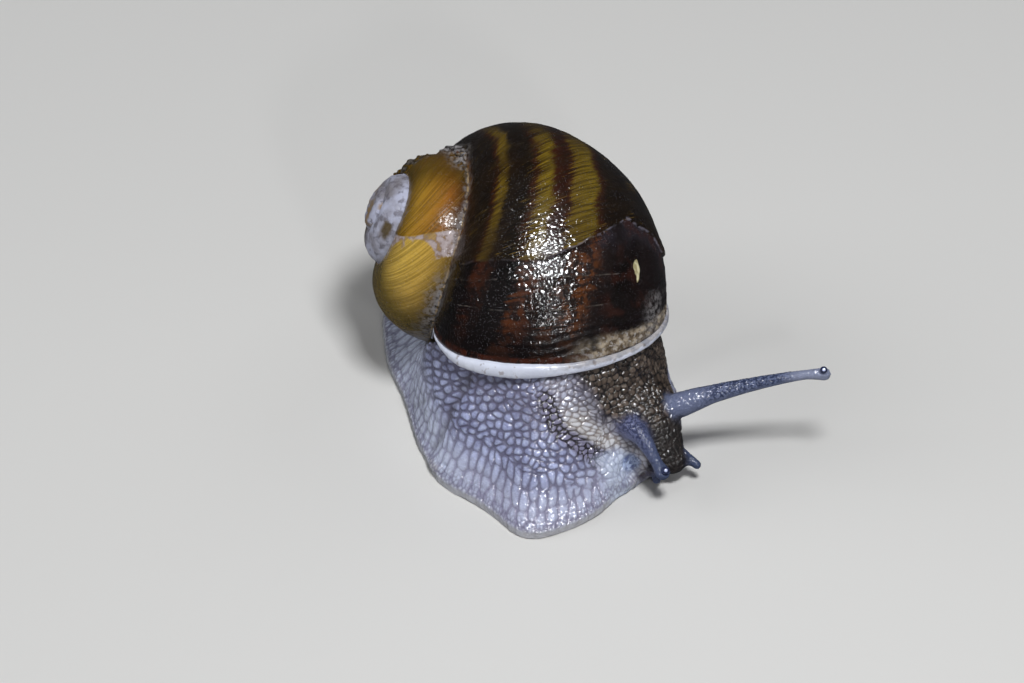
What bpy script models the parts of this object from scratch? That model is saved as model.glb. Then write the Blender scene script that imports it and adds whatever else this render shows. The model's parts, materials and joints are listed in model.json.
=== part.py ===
"""A common garden snail, crawling: foot, body, head, four feelers, two eyes and a spiral shell.

Lengths in the tables below are millimetres and angles are degrees; MM turns a length into metres.
+Z is up and the sole lies on z = 0.  The head points to +X and a little to -Y.
"""
import math

import bmesh
import bpy
from mathutils import Matrix, Vector

MM = 0.001
TURN = 2 * math.pi
GAP = 0.3                      # clear space between neighbouring pieces

# The shell grows round an axis that leans back over the tail.
POLE = Vector((-16.74, 8.49, 19.14))
AXIS_BEARING = 172.8
AXIS_RISE = 27.4
LIP_ANGLE = -109.2             # the growing edge, round the axis from straight up
GROWTH = 1.9                   # each whorl is this many times the one before
DEPTH_POWER = 1.3              # above 1, the spire is blunt at its tip
TUBE_OUT = 9.66                # centre of the last whorl's tube from the axis
TUBE_RADIUS = 9.18
TUBE_UP = 11.45                # tube height towards the tip
TUBE_DOWN = 14.5               # tube height towards the base
TUBE_DEPTH = 20.7              # centre of the last whorl's tube below the pole
LIP_DROP = 0.7                 # the last sixth of a whorl sinks by this much
NAVEL_DIP = 0.35               # how far the base sinks towards the axis
WHORLS = 4
TIP_LIFT = 0.25                # the first whorl is closed with a low dome
MOUTH_LIFT = 3.0               # the opening is closed by a shallow hollow, up inside the shell
STEPS_PER_WHORL = 36
ROWS_SIDE = 9                  # rows of faces from seam to seam
ROWS_BASE = 8                  # rows of faces from the seam line to the axis
LIP_SUTURE_TURN = 15
LIP_NAVEL_TURN = -112
LIP_PLANE_TILT = 11.1
LIP_PLANE_BEARING = 103.1
LIP_PLANE_BELOW = -9.1         # from the pole, along the plane's normal
LIP_OUT = -0.12                # the rolled rim's middle, outward from the shell's edge
LIP_HALF_WIDTH = 0.6
LIP_HALF_HEIGHT = 0.52
LIP_STOPS_SHORT = 4            # rows between the rim's end and the axis
LIP_THIN_END = 0.4             # the rim thins to this share at its two ends

# The foot is a skirt whose edge is given by radii at equal bearings from its middle, 0 being +X.
FOOT_MIDDLE = Vector((0.5, -2.5, 0.0))
FOOT_RADII = (13.5, 13.6, 13.6, 14.1, 15.1, 17.1, 19.8, 24.9, 31.2, 33.0,
              28.6, 23.9, 20.3, 17.2, 14.8, 13.7, 13.5, 13.5, 14.1, 14.7,
              14.7, 16.0, 18.3, 17.3, 15.8, 14.2, 13.8, 13.8, 13.8, 13.6)
FOOT_EDGE = 0.9                # thickness of the skirt at its edge
FOOT_SECTORS = 90
FOOT_RINGS = 20
STALK_SIDE = 11.0              # half sizes of the body where it enters the shell
STALK_FRONT = 7.3
STALK_BACK = 6.0
STALK_CLEAR = 0.35             # from the shell's opening down to the body's top
TAIL_THICK = 2.3
TAIL_RISES_AT = 0.72           # share of the way in at which the tail's back turns up
FLANK_POWER = 1.3
FLANK_ROUND = 0.55             # 0 for a plain slope, 1 for an S
REAR_MIDDLE = 95.0             # bearing of the middle of the part that has the tail's profile
REAR_SPREAD = 80.0
REAR_FADE = 1.6
SINK = 1.2                     # the body is made this much too deep, then cut flat at z = 0

# Neck and head: middle of each section, then half width and half height.
NECK_SPINE = (((4.5, -2.6, 7.4), 6.6, 3.9), ((7.4, -5.4, 6.7), 6.0, 3.9),
              ((9.6, -7.9, 5.6), 4.7, 3.4), ((11.0, -9.4, 4.6), 3.6, 2.9),
              ((11.9, -10.5, 3.6), 2.7, 2.4), ((13.0, -11.3, 2.6), 2.0, 1.7))
LIP_FOLD = (((10.6, -11.2, 2.6), 1.3, 1.3), ((11.4, -12.0, 1.8), 1.2, 1.1))

# Feelers: points down the middle, then the radius at each.
UPPER_LEFT = (((12.2, -8.4, 6.2), 1.42), ((14.4, -8.3, 7.1), 1.3), ((17.0, -8.1, 8.1), 1.02),
              ((20.4, -8.05, 9.2), 0.75), ((24.0, -8.15, 10.3), 0.58), ((26.6, -8.3, 10.95), 0.5),
              ((28.25, -8.45, 11.15), 0.66))
UPPER_RIGHT = (((8.2, -10.0, 6.0), 1.5), ((9.2, -11.3, 6.6), 1.35), ((10.2, -12.7, 6.4), 0.95),
               ((11.1, -14.0, 5.5), 0.68), ((11.7, -14.7, 4.65), 0.6), ((12.15, -15.15, 4.05), 0.8))
LOWER_LEFT = (((13.6, -10.5, 2.9), 0.7), ((14.6, -11.2, 2.5), 0.52), ((15.6, -11.9, 2.1), 0.46))
LOWER_RIGHT = (((11.6, -12.3, 2.0), 0.6), ((11.6, -12.95, 1.7), 0.5), ((11.6, -13.4, 1.5), 0.46))
FEELER_SIDES = 10
UPPER_BASE_STATIONS = 2        # an upper feeler's thick base runs up to this point of the list
EYE_RADIUS = 0.38
EYE_GAP = 0.14

# Where the flesh is parted, in thin cuts.
MANTLE_BELOW = 1.7             # depth of the collar under the shell's opening
TAIL_CUT = 15.5                # along the tail from the foot's middle
TAIL_BEARING = 108.0
HEAD_BEARING = -45.0
NECK_CUT = 6.8                 # along the head's bearing from the foot's middle
HEAD_CUT = 9.9
HEAD_SIDEWAYS = 2.6            # the head's line passes this far left of the foot's middle
HEAD_HALF_WIDTH = 5.6
HEAD_UNDERSIDE = 1.5

BOX_HALF = 30.0
VOXEL = 0.5
SMOOTHING = 9
SLIVER = 0.03
FLESH_KEEP = 0.125             # share of triangles kept after decimation

SHELL_BROWN = (0.075, 0.028, 0.012)
LIP_WHITE = (0.62, 0.58, 0.55)
SKIN_GREY = (0.23, 0.22, 0.30)
HEAD_BROWN = (0.10, 0.075, 0.06)
FEELER_BLUE = (0.12, 0.14, 0.24)
EYE_BLACK = (0.012, 0.012, 0.018)


def polar(bearing, rise=0.0, length=1.0):
    b, r = math.radians(bearing), math.radians(rise)
    return Vector((math.cos(b) * math.cos(r), math.sin(b) * math.cos(r), math.sin(r))) * length


AXIS = polar(AXIS_BEARING, AXIS_RISE)
AXIS_UP = (Vector((0, 0, 1)) - AXIS * AXIS.z).normalized()
AXIS_SIDE = AXIS.cross(AXIS_UP)
LIP_NORMAL = polar(LIP_PLANE_BEARING, 90 - LIP_PLANE_TILT)


def smoothstep(x):
    x = min(1.0, max(0.0, x))
    return x * x * (3 - 2 * x)


def spline(values, at):
    """Catmull-Rom through the values, at a place counted in steps between them."""
    i = min(int(at), len(values) - 2)
    t = at - i
    picked = [values[min(max(i + k, 0), len(values) - 1)] for k in (-1, 0, 1, 2)]
    a, b, c, d = picked
    return 0.5 * (2 * b + (c - a) * t + (2 * a - 5 * b + 4 * c - d) * t * t
                  + (3 * b - a - 3 * c + d) * t ** 3)


def bisect(function, low, high):
    """Where the function changes sign, given that it's positive at low."""
    for _ in range(40):
        middle = (low + high) / 2
        if function(middle) > 0:
            low = middle
        else:
            high = middle
    return (low + high) / 2


# ---------------------------------------------------------------- scene helpers

def clear_scene():
    for obj in list(bpy.data.objects):
        bpy.data.objects.remove(obj, do_unlink=True)


def new_collection(name):
    collection = bpy.data.collections.new(name)
    bpy.context.scene.collection.children.link(collection)
    return collection


def make_material(name, colour, roughness, coat=0.0):
    material = bpy.data.materials.new(name)
    material.use_nodes = True
    shader = material.node_tree.nodes["Principled BSDF"]
    shader.inputs["Base Color"].default_value = (*colour, 1)
    shader.inputs["Roughness"].default_value = roughness
    shader.inputs["Coat Weight"].default_value = coat
    return material


def add_object(name, mesh, collection, material=None):
    obj = bpy.data.objects.new(name, mesh)
    collection.objects.link(obj)
    if material:
        mesh.materials.clear()
        mesh.materials.append(material)
    return obj


def mesh_from(bm, name):
    bmesh.ops.recalc_face_normals(bm, faces=bm.faces)
    if bm.calc_volume(signed=True) < 0:
        bmesh.ops.reverse_faces(bm, faces=bm.faces)
    bmesh.ops.scale(bm, vec=(MM, MM, MM), verts=bm.verts)
    mesh = bpy.data.meshes.new(name)
    bm.to_mesh(mesh)
    bm.free()
    return mesh


def evaluated_mesh(obj, name):
    """The object's mesh after its modifiers, as a mesh of its own."""
    graph = bpy.context.evaluated_depsgraph_get()
    mesh = bpy.data.meshes.new_from_object(obj.evaluated_get(graph), depsgraph=graph)
    mesh.name = name
    return mesh


def tidy(mesh):
    """Triangles only, with no slivers, so that the next cut is clean."""
    bm = bmesh.new()
    bm.from_mesh(mesh)
    bmesh.ops.remove_doubles(bm, verts=bm.verts, dist=SLIVER * MM)
    bmesh.ops.dissolve_degenerate(bm, edges=bm.edges, dist=SLIVER * MM)
    bmesh.ops.triangulate(bm, faces=bm.faces)
    bm.to_mesh(mesh)
    bm.free()
    return mesh


def cut(obj, cutter, operation):
    modifier = obj.modifiers.new(f"{operation.lower()} {cutter.name}", "BOOLEAN")
    modifier.operation = operation
    modifier.solver = "EXACT"
    modifier.object = cutter


def hide_cutter(obj):
    obj.hide_render = True
    obj.display_type = "WIRE"


def box_cutter(name, collection, middle, half, turn=Matrix.Identity(3)):
    """A box with these half sizes, turned about its middle."""
    bm = bmesh.new()
    bmesh.ops.create_cube(bm, size=2, matrix=Matrix.Diagonal((*half, 1)))
    obj = add_object(name, mesh_from(bm, name), collection)
    obj.matrix_world = Matrix.Translation(middle * MM) @ turn.to_4x4()
    hide_cutter(obj)
    return obj


# ---------------------------------------------------------------- shell

def tube_size(turn):
    return GROWTH ** (turn / TURN)


def tube_middle_depth(turn):
    late = max(0.0, turn / (TURN / 6) + 1)
    return TUBE_DEPTH * tube_size(turn) ** DEPTH_POWER + LIP_DROP * late ** 2


def section(turn, phi):
    """Distance from the axis and depth below the pole, at an angle phi round the tube.

    phi is 0 on the outside, 90 degrees towards the tip and -180 degrees at the axis."""
    size = tube_size(turn)
    rise = math.sin(phi)
    if rise > 0:
        depth = -TUBE_UP * rise
    else:
        depth = -TUBE_DOWN * rise
    if phi < -TURN / 4:
        depth = TUBE_DOWN * (1 - NAVEL_DIP * (1 + rise))
    out = TUBE_OUT + TUBE_RADIUS * math.cos(phi)
    return size * out, tube_middle_depth(turn) + size * depth


def place(turn, out, depth):
    angle = math.radians(LIP_ANGLE) - turn
    return POLE + out * (math.cos(angle) * AXIS_UP + math.sin(angle) * AXIS_SIDE) - depth * AXIS


def shell_point(turn, phi):
    return place(turn, *section(turn, phi))


def phi_on_tube(turn, out, depth):
    """The angle round the tube of a point that lies on it."""
    size = tube_size(turn)
    rise = (tube_middle_depth(turn) - depth) / size
    rise /= TUBE_UP if rise > 0 else TUBE_DOWN
    return math.atan2(rise, (out / size - TUBE_OUT) / TUBE_RADIUS)


def seam_phi(turn):
    """Where a whorl starts, on the whorl before it."""
    before = turn - TURN
    size = tube_size(before)

    def clear_of_it(phi):
        out, depth = section(turn, phi)
        rise = (tube_middle_depth(before) - depth) / size
        rise /= TUBE_UP if rise > 0 else TUBE_DOWN
        return ((out / size - TUBE_OUT) / TUBE_RADIUS) ** 2 + rise ** 2 - 1
    low = math.radians(30)
    high = low
    while clear_of_it(high) > 0 and high < math.radians(175):
        high += math.radians(2)
    return bisect(clear_of_it, low, high)


def lip_turn(phi):
    """How far the shell has grown at this angle round the tube, where the lip's plane cuts it."""
    def above(turn):
        return (shell_point(turn, phi) - POLE).dot(LIP_NORMAL) - LIP_PLANE_BELOW
    turn = math.radians(-120)
    while above(turn) > 0 and turn < math.radians(LIP_SUTURE_TURN + 20):
        turn += math.radians(2)
    found = bisect(above, turn - math.radians(2), turn)
    return max(found, math.radians(LIP_NAVEL_TURN))


def blend(a, b, share):
    return a + (b - a) * share


class ShellGrid:
    """The shell's outer face, as rows of points from seam to seam along the spiral."""

    def __init__(self, steps=STEPS_PER_WHORL, side=ROWS_SIDE, base=ROWS_BASE):
        self.steps, self.side, self.base = steps, side, base
        self.last = WHORLS * steps
        self.open = self.last - steps          # where the last whorl begins
        self.end_turn = math.radians(LIP_SUTURE_TURN)
        self.top = [self.top_phi(j) for j in range(self.last + 1)]
        self.low = [self.low_phi(j) for j in range(self.open + 1)]
        phis = [blend(self.top[-1], self.low[-1], i / side) for i in range(side)]
        phis += [blend(self.low[-1], -TURN / 2, i / base) for i in range(base + 1)]
        self.lip_phis = phis
        self.lip_turns = [self.end_turn] + [lip_turn(phi) for phi in phis[1:]]

    def turn(self, j):
        return self.end_turn - TURN * (self.last - j) / self.steps

    def top_phi(self, j):
        if j >= self.steps:
            return seam_phi(self.turn(j))
        later = seam_phi(self.turn(self.steps))
        return blend(math.radians(110), later, j / self.steps)

    def low_phi(self, j):
        turn = self.turn(j + self.steps)
        return phi_on_tube(self.turn(j), *section(turn, self.top[j + self.steps]))

    def point(self, j, i):
        """Row i of column j; past the last side row, rows run on to the axis."""
        if j <= self.open and i <= self.side:
            return shell_point(self.turn(j), blend(self.top[j], self.low[j], i / self.side))
        share = (j - self.open) / self.steps
        turn = blend(self.turn(self.open), self.lip_turns[i], share)
        if i < self.side:
            start = blend(self.top[j], self.low[-1], i / self.side)
        else:
            start = self.lip_phis[i]
        return shell_point(turn, start)


def shell_mesh(name, grid):
    bm = bmesh.new()
    rows = grid.side + grid.base
    made = {}

    def vert(j, i):
        if i == 0 and j >= grid.steps:        # a whorl's top edge is the seam of the whorl before
            j, i = j - grid.steps, grid.side
        if (j, i) not in made:
            made[j, i] = bm.verts.new(grid.point(j, i))
        return made[j, i]

    for j in range(grid.last):
        for i in range(grid.side if j < grid.open else rows):
            bm.faces.new((vert(j, i), vert(j + 1, i), vert(j + 1, i + 1), vert(j, i + 1)))
    tip = [vert(j, 0) for j in range(grid.steps + 1)]
    tip += [vert(0, i) for i in range(grid.side - 1, 0, -1)]
    close_with_fan(bm, tip, AXIS * TIP_LIFT)
    navel_edge = [vert(j, rows) for j in range(grid.open, grid.last + 1)]
    navel = bm.verts.new(sum((v.co for v in navel_edge), Vector()) / len(navel_edge))
    for a, b in zip(navel_edge, navel_edge[1:]):
        bm.faces.new((a, b, navel))
    mouth = [vert(grid.last, i) for i in range(rows + 1)] + [navel]
    mouth += [vert(grid.open, i) for i in range(rows, grid.side, -1)]
    close_with_fan(bm, mouth, LIP_NORMAL * MOUTH_LIFT)
    return mesh_from(bm, name)


def close_with_fan(bm, loop, lift):
    middle = bm.verts.new(sum((v.co for v in loop), Vector()) / len(loop) + lift)
    for a, b in zip(loop, loop[1:] + loop[:1]):
        bm.faces.new((a, b, middle))


def make_shell(pieces, cutters):
    grid = ShellGrid()
    material = make_material("shell brown", SHELL_BROWN, 0.25, coat=0.6)
    shell = add_object("shell", shell_mesh("shell", grid), pieces, material)
    return grid, room_for(shell, cutters)


def room_for(piece, cutters):
    """A cutter that clears a little more than the piece fills."""
    room = add_object(f"room for {piece.name}", piece.data.copy(), cutters)
    swell = room.modifiers.new("swell", "DISPLACE")
    swell.mid_level = 0
    swell.strength = GAP * MM
    hide_cutter(room)
    return room


def make_lip(grid, pieces, cutters):
    """The pale rolled rim, swept along the edge of the shell's opening."""
    count = len(grid.lip_phis) - LIP_STOPS_SHORT
    edge = [grid.point(grid.last, i) for i in range(count)]
    middle = sum(edge, Vector()) / len(edge)
    bm = bmesh.new()
    rings = []
    for i, point in enumerate(edge):
        ahead = edge[min(i + 1, count - 1)] - edge[max(i - 1, 0)]
        out = ahead.cross(LIP_NORMAL).normalized()
        if out.dot(point - middle) < 0:
            out = -out
        along = (i + 0.5) / count
        taper = blend(LIP_THIN_END, 1.0, math.sin(math.pi * along) ** 0.7)
        centre = point + out * LIP_OUT - LIP_NORMAL * (LIP_HALF_HEIGHT * taper + GAP * 0.6)
        ring = []
        for k in range(8):
            a = TURN * k / 8
            ring.append(bm.verts.new(centre + taper * (out * LIP_HALF_WIDTH * math.cos(a)
                                                       + LIP_NORMAL * LIP_HALF_HEIGHT * math.sin(a))))
        rings.append(ring)
    for first, second in zip(rings, rings[1:]):
        for k in range(8):
            bm.faces.new((first[k - 1], first[k], second[k], second[k - 1]))
    bm.faces.new(rings[0])
    bm.faces.new(rings[-1])
    material = make_material("lip white", LIP_WHITE, 0.35, coat=0.4)
    lip = add_object("shell_lip", mesh_from(bm, "shell_lip"), pieces, material)
    return room_for(lip, cutters)


# ---------------------------------------------------------------- flesh

def opening_height(x, y):
    """Height of the shell's opening above a place on the floor."""
    from_pole = LIP_PLANE_BELOW - (Vector((x, y, 0)) - POLE).dot(LIP_NORMAL)
    return from_pole / LIP_NORMAL.z


def foot_radius(bearing):
    count = len(FOOT_RADII)
    padded = FOOT_RADII[-2:] + FOOT_RADII + FOOT_RADII[:2]
    return spline(padded, bearing / 360 % 1 * count + 2)


def stalk_radius(bearing):
    b = math.radians(bearing)
    deep = STALK_BACK if math.sin(b) > 0 else STALK_FRONT
    return 1 / math.hypot(math.cos(b) / STALK_SIDE, math.sin(b) / deep)


def body_height(bearing, inward, top):
    """Height of the back at a share of the way in from the foot's edge to the stalk."""
    slope = blend(inward ** FLANK_POWER, smoothstep(inward), FLANK_ROUND)
    flank = FOOT_EDGE + (top - FOOT_EDGE) * slope
    low = FOOT_EDGE + (TAIL_THICK - FOOT_EDGE) * (1 - (1 - inward) ** 2)
    rear = low + (top - low) * smoothstep((inward - TAIL_RISES_AT) / (1 - TAIL_RISES_AT))
    behind = smoothstep(1 - abs((bearing - REAR_MIDDLE) / REAR_SPREAD))
    return blend(flank, rear, smoothstep(behind * REAR_FADE))


def add_foot_and_body(bm):
    rings = []
    for r in range(FOOT_RINGS + 1):
        inward = r / FOOT_RINGS
        ring = []
        for s in range(FOOT_SECTORS):
            bearing = 360 * s / FOOT_SECTORS
            outward = blend(foot_radius(bearing), stalk_radius(bearing), inward)
            spot = FOOT_MIDDLE + polar(bearing, 0, outward)
            top = opening_height(spot.x, spot.y) - STALK_CLEAR
            spot.z = body_height(bearing, inward, top)
            ring.append(bm.verts.new(spot))
        rings.append(ring)
    sole = [bm.verts.new((v.co.x, v.co.y, -SINK)) for v in rings[0]]
    for outer, inner in zip([sole] + rings, rings):
        for s in range(FOOT_SECTORS):
            bm.faces.new((outer[s - 1], outer[s], inner[s], inner[s - 1]))
    bm.faces.new(reversed(sole))
    bm.faces.new(rings[-1])


def loft(bm, stations, sides, per_step=4):
    """A closed tube through stations of (middle, half width, half height)."""
    middles = [Vector(s[0]) for s in stations]
    widths = [s[1] for s in stations]
    heights = [s[2] for s in stations]
    steps = (len(stations) - 1) * per_step
    line = [spline(middles, k / per_step) for k in range(steps + 1)]
    rings = []
    for k, middle in enumerate(line):
        ahead = (line[min(k + 1, steps)] - line[max(k - 1, 0)]).normalized()
        side = ahead.cross(Vector((0, 0, 1))).normalized()
        up = side.cross(ahead)
        wide = spline(widths, k / per_step)
        high = spline(heights, k / per_step)
        rings.append([bm.verts.new(middle + side * wide * math.cos(TURN * a / sides)
                                   + up * high * math.sin(TURN * a / sides))
                      for a in range(sides)])
    for first, second in zip(rings, rings[1:]):
        for a in range(sides):
            bm.faces.new((first[a - 1], first[a], second[a], second[a - 1]))
    for ring, tip_from in ((rings[0], 1), (rings[-1], -2)):
        middle = sum((v.co for v in ring), Vector()) / sides
        inner = rings[tip_from]
        before = sum((v.co for v in inner), Vector()) / sides
        radius = (ring[0].co - middle).length
        round_end(bm, ring, middle, (middle - before).normalized(), radius)


def round_end(bm, ring, middle, ahead, radius):
    """Closes a ring with a dome."""
    spokes = [v.co - middle for v in ring]
    for share in (0.5, 0.85):
        inner = [bm.verts.new(middle + spoke * math.sqrt(1 - share ** 2) + ahead * radius * share)
                 for spoke in spokes]
        for a in range(len(ring)):
            bm.faces.new((ring[a - 1], ring[a], inner[a], inner[a - 1]))
        ring = inner
    tip = bm.verts.new(middle + ahead * radius)
    for a in range(len(ring)):
        bm.faces.new((ring[a - 1], ring[a], tip))


def whole_flesh(cutters, rooms):
    """Foot, body, neck and head in one smooth closed mesh with a flat sole."""
    joined = None
    for index, add in enumerate((add_foot_and_body,
                                 lambda bm: loft(bm, NECK_SPINE, 24),
                                 lambda bm: loft(bm, LIP_FOLD, 16))):
        bm = bmesh.new()
        add(bm)
        lump = add_object(f"flesh lump {index}", mesh_from(bm, "lump"), cutters)
        hide_cutter(lump)
        if joined:
            cut(joined, lump, "UNION")
        else:
            joined = lump
    remesh = joined.modifiers.new("blend", "REMESH")
    remesh.mode = "VOXEL"
    remesh.voxel_size = VOXEL * MM
    smooth = joined.modifiers.new("soften", "SMOOTH")
    smooth.iterations = SMOOTHING
    thin = joined.modifiers.new("thin out", "DECIMATE")
    thin.ratio = FLESH_KEEP
    below = box_cutter("below the floor", cutters, Vector((0, 5, -10)), (60, 60, 10))
    cut(joined, below, "DIFFERENCE")
    for room in rooms:
        cut(joined, room, "DIFFERENCE")
    flesh = add_object("flesh", tidy(evaluated_mesh(joined, "flesh")), cutters)
    hide_cutter(flesh)
    return flesh


def turned_box(name, cutters, bearing, start, low, gap, sideways=0.0, half_width=40.0):
    """A box that covers everything past a start along a bearing and above a height."""
    turn = Matrix.Rotation(math.radians(bearing), 3, "Z")
    middle = FOOT_MIDDLE + polar(bearing, 0, start - gap + BOX_HALF)
    middle += polar(bearing + 90, 0, sideways) + Vector((0, 0, low - gap + BOX_HALF))
    return box_cutter(name, cutters, middle, (BOX_HALF, half_width + gap, BOX_HALF), turn)


def part_flesh(flesh, pieces, cutters, sockets):
    skin = make_material("skin grey", SKIN_GREY, 0.35, coat=0.5)
    brown = make_material("head brown", HEAD_BROWN, 0.35, coat=0.5)
    tilt = Matrix.Rotation(math.radians(LIP_PLANE_TILT), 3,
                           Vector((0, 0, 1)).cross(LIP_NORMAL).normalized())
    collar_floor = POLE + LIP_NORMAL * (LIP_PLANE_BELOW - MANTLE_BELOW)
    boxes = {}
    for label, gap in (("", 0.0), (" and gap", GAP)):
        middle = collar_floor + LIP_NORMAL * (10 - gap)
        boxes["mantle" + label] = box_cutter("above the collar" + label, cutters, middle,
                                             (50, 50, 10), tilt)
        boxes["tail" + label] = turned_box("behind" + label, cutters, TAIL_BEARING, TAIL_CUT,
                                           -5, gap)
        boxes["neck" + label] = turned_box("neck block" + label, cutters, HEAD_BEARING, NECK_CUT,
                                           HEAD_UNDERSIDE, gap, HEAD_SIDEWAYS, HEAD_HALF_WIDTH)
        boxes["head" + label] = turned_box("head block" + label, cutters, HEAD_BEARING, HEAD_CUT,
                                           -5, gap)
    boxes["before the tail"] = turned_box("before the tail", cutters, TAIL_BEARING + 180,
                                          -TAIL_CUT, -5, 0)
    plan = {"tail": ([], ["before the tail"], skin),
            "mantle": (["mantle"], [], skin),
            "foot": ([], ["mantle and gap", "tail and gap", "neck and gap"], skin),
            "neck": (["neck"], ["head and gap", "mantle and gap"], brown),
            "head": (["neck", "head"], [], brown)}
    for name, (keep, drop, material) in plan.items():
        piece = add_object(name, flesh.data.copy(), pieces, material)
        for key in keep:
            cut(piece, boxes[key], "INTERSECT")
        for key in drop:
            cut(piece, boxes[key], "DIFFERENCE")
        if name in ("head", "neck"):
            for socket in sockets:
                cut(piece, socket, "DIFFERENCE")


# ---------------------------------------------------------------- feelers and eyes

def feeler_mesh(name, stations, extra=0.0):
    bm = bmesh.new()
    loft(bm, [(place, radius + extra, radius + extra) for place, radius in stations],
         FEELER_SIDES, per_step=2)
    return mesh_from(bm, name)


def make_feelers(pieces, cutters):
    material = make_material("feeler blue", FEELER_BLUE, 0.3, coat=0.6)
    sockets = []
    for name, stations in (("feeler_upper_left", UPPER_LEFT), ("feeler_upper_right", UPPER_RIGHT),
                           ("feeler_lower_left", LOWER_LEFT), ("feeler_lower_right", LOWER_RIGHT)):
        if "upper" in name:
            stalk = part_upper_feeler(name, stations, material, pieces, cutters)
            add_eye(name.replace("feeler_upper", "eye"), stations, stalk, pieces, cutters)
        else:
            add_object(name, feeler_mesh(name, stations), pieces, material)
        socket = add_object(f"socket of {name}", feeler_mesh(name, stations, GAP), cutters)
        hide_cutter(socket)
        sockets.append(socket)
    return sockets


def part_upper_feeler(name, stations, material, pieces, cutters):
    """The thick base and the stalk with its knob, parted square across; returns the stalk."""
    behind, at, beyond = (Vector(stations[UPPER_BASE_STATIONS + k][0]) for k in (-1, 0, 1))
    ahead = (beyond - behind).normalized()
    for label, drop in (("base", ahead), ("stalk", -ahead)):
        piece = add_object(f"{name}_{label}", feeler_mesh(name, stations), pieces, material)
        cutter = box_cutter(f"beyond the {piece.name}", cutters, at + drop * (BOX_HALF - GAP / 2),
                            (BOX_HALF, BOX_HALF, BOX_HALF), drop.to_track_quat("X", "Z").to_matrix())
        cut(piece, cutter, "DIFFERENCE")
    return piece


def add_eye(name, stations, feeler, pieces, cutters):
    """A dark eye set in the top of the knob at the feeler's end."""
    tip = Vector(stations[-1][0])
    radius = stations[-1][1]
    ahead = (tip - Vector(stations[-2][0])).normalized()
    side = ahead.cross(Vector((0, 0, 1))).normalized()
    up = side.cross(ahead)
    middle = tip + up * (radius - EYE_RADIUS * 0.35)
    for kind, size in (("eye", EYE_RADIUS), ("socket", EYE_RADIUS + EYE_GAP)):
        bm = bmesh.new()
        bmesh.ops.create_icosphere(bm, subdivisions=2, radius=size,
                                   matrix=Matrix.Translation(middle))
        if kind == "eye":
            material = make_material("eye black", EYE_BLACK, 0.1, coat=1.0)
            add_object(name, mesh_from(bm, name), pieces, material)
        else:
            socket = add_object(f"socket of {name}", mesh_from(bm, name), cutters)
            hide_cutter(socket)
            cut(feeler, socket, "DIFFERENCE")


def main():
    clear_scene()
    pieces = new_collection("striped snail")
    cutters = new_collection("cutters")
    grid, room = make_shell(pieces, cutters)
    lip_room = make_lip(grid, pieces, cutters)
    sockets = make_feelers(pieces, cutters)
    flesh = whole_flesh(cutters, (room, lip_room))
    part_flesh(flesh, pieces, cutters, sockets)


main()
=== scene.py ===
# %% [markdown]
# # A garden snail, dressed
#
# The solids of the snail are already made and packed: a shell, its pale rim, and a body parted
# into foot, tail, neck, head and feelers.  This lesson gives them a living surface.  The frame is
# loaded first, so that every later piece is placed from the solids and nothing drifts away from
# them.

# %% Load the frame
import itertools
import json
import math

import bmesh
import bpy
import numpy as np
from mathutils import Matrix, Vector, kdtree

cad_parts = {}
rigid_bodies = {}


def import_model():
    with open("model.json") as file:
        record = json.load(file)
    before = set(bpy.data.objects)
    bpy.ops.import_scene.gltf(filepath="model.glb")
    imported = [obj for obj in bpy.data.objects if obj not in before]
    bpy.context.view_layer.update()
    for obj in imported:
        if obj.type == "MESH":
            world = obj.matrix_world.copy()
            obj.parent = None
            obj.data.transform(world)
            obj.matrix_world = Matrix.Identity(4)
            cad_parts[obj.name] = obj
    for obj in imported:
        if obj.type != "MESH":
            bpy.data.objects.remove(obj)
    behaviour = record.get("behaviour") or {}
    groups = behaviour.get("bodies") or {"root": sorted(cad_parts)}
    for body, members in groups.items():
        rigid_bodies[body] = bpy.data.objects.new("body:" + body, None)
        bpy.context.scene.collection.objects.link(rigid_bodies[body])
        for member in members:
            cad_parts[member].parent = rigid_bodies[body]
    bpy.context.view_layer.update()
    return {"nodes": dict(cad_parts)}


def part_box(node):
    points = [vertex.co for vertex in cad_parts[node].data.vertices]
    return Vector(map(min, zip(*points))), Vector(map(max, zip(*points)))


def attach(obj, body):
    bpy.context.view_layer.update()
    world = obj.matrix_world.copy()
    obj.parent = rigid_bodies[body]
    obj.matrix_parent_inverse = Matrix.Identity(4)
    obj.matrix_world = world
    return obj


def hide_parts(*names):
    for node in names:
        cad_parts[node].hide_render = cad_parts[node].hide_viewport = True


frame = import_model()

MM = 0.001                                     # one millimetre in Blender's metres
PER_MM = 1 / MM

# %% [markdown]
# ## Small helpers
#
# Lengths are worked out in millimetres, because a snail is small and Blender's own unit, the
# metre, would fill the script with zeros.  Arrays of points go through numpy, which moves a
# quarter of a million points as easily as one.

# %% Helpers for numbers


def unit(vectors):
    return vectors / np.maximum(np.linalg.norm(vectors, axis=-1, keepdims=True), 1e-12)


def smooth_between(low, high, value):
    """0 below low, 1 above high and an S between; low may be the larger one."""
    t = np.clip((value - low) / (high - low), 0.0, 1.0)
    return t * t * (3 - 2 * t)


def bump_at(centre, half_width, value):
    """1 at the centre, falling to 0 on both sides."""
    return smooth_between(half_width, 0.0, np.abs(value - centre))


print("a third of the way up the S:", round(float(smooth_between(0, 3, 1)), 3))

# %% [markdown]
# Nothing alive is even, so most numbers are mixed with noise.  The noise is made here rather than
# taken from a library of random numbers, so that it gives the same lumps on every computer: each
# whole-numbered cell is scrambled into a number, and the points between take a smooth mixture.

# %% Soft noise


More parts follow.
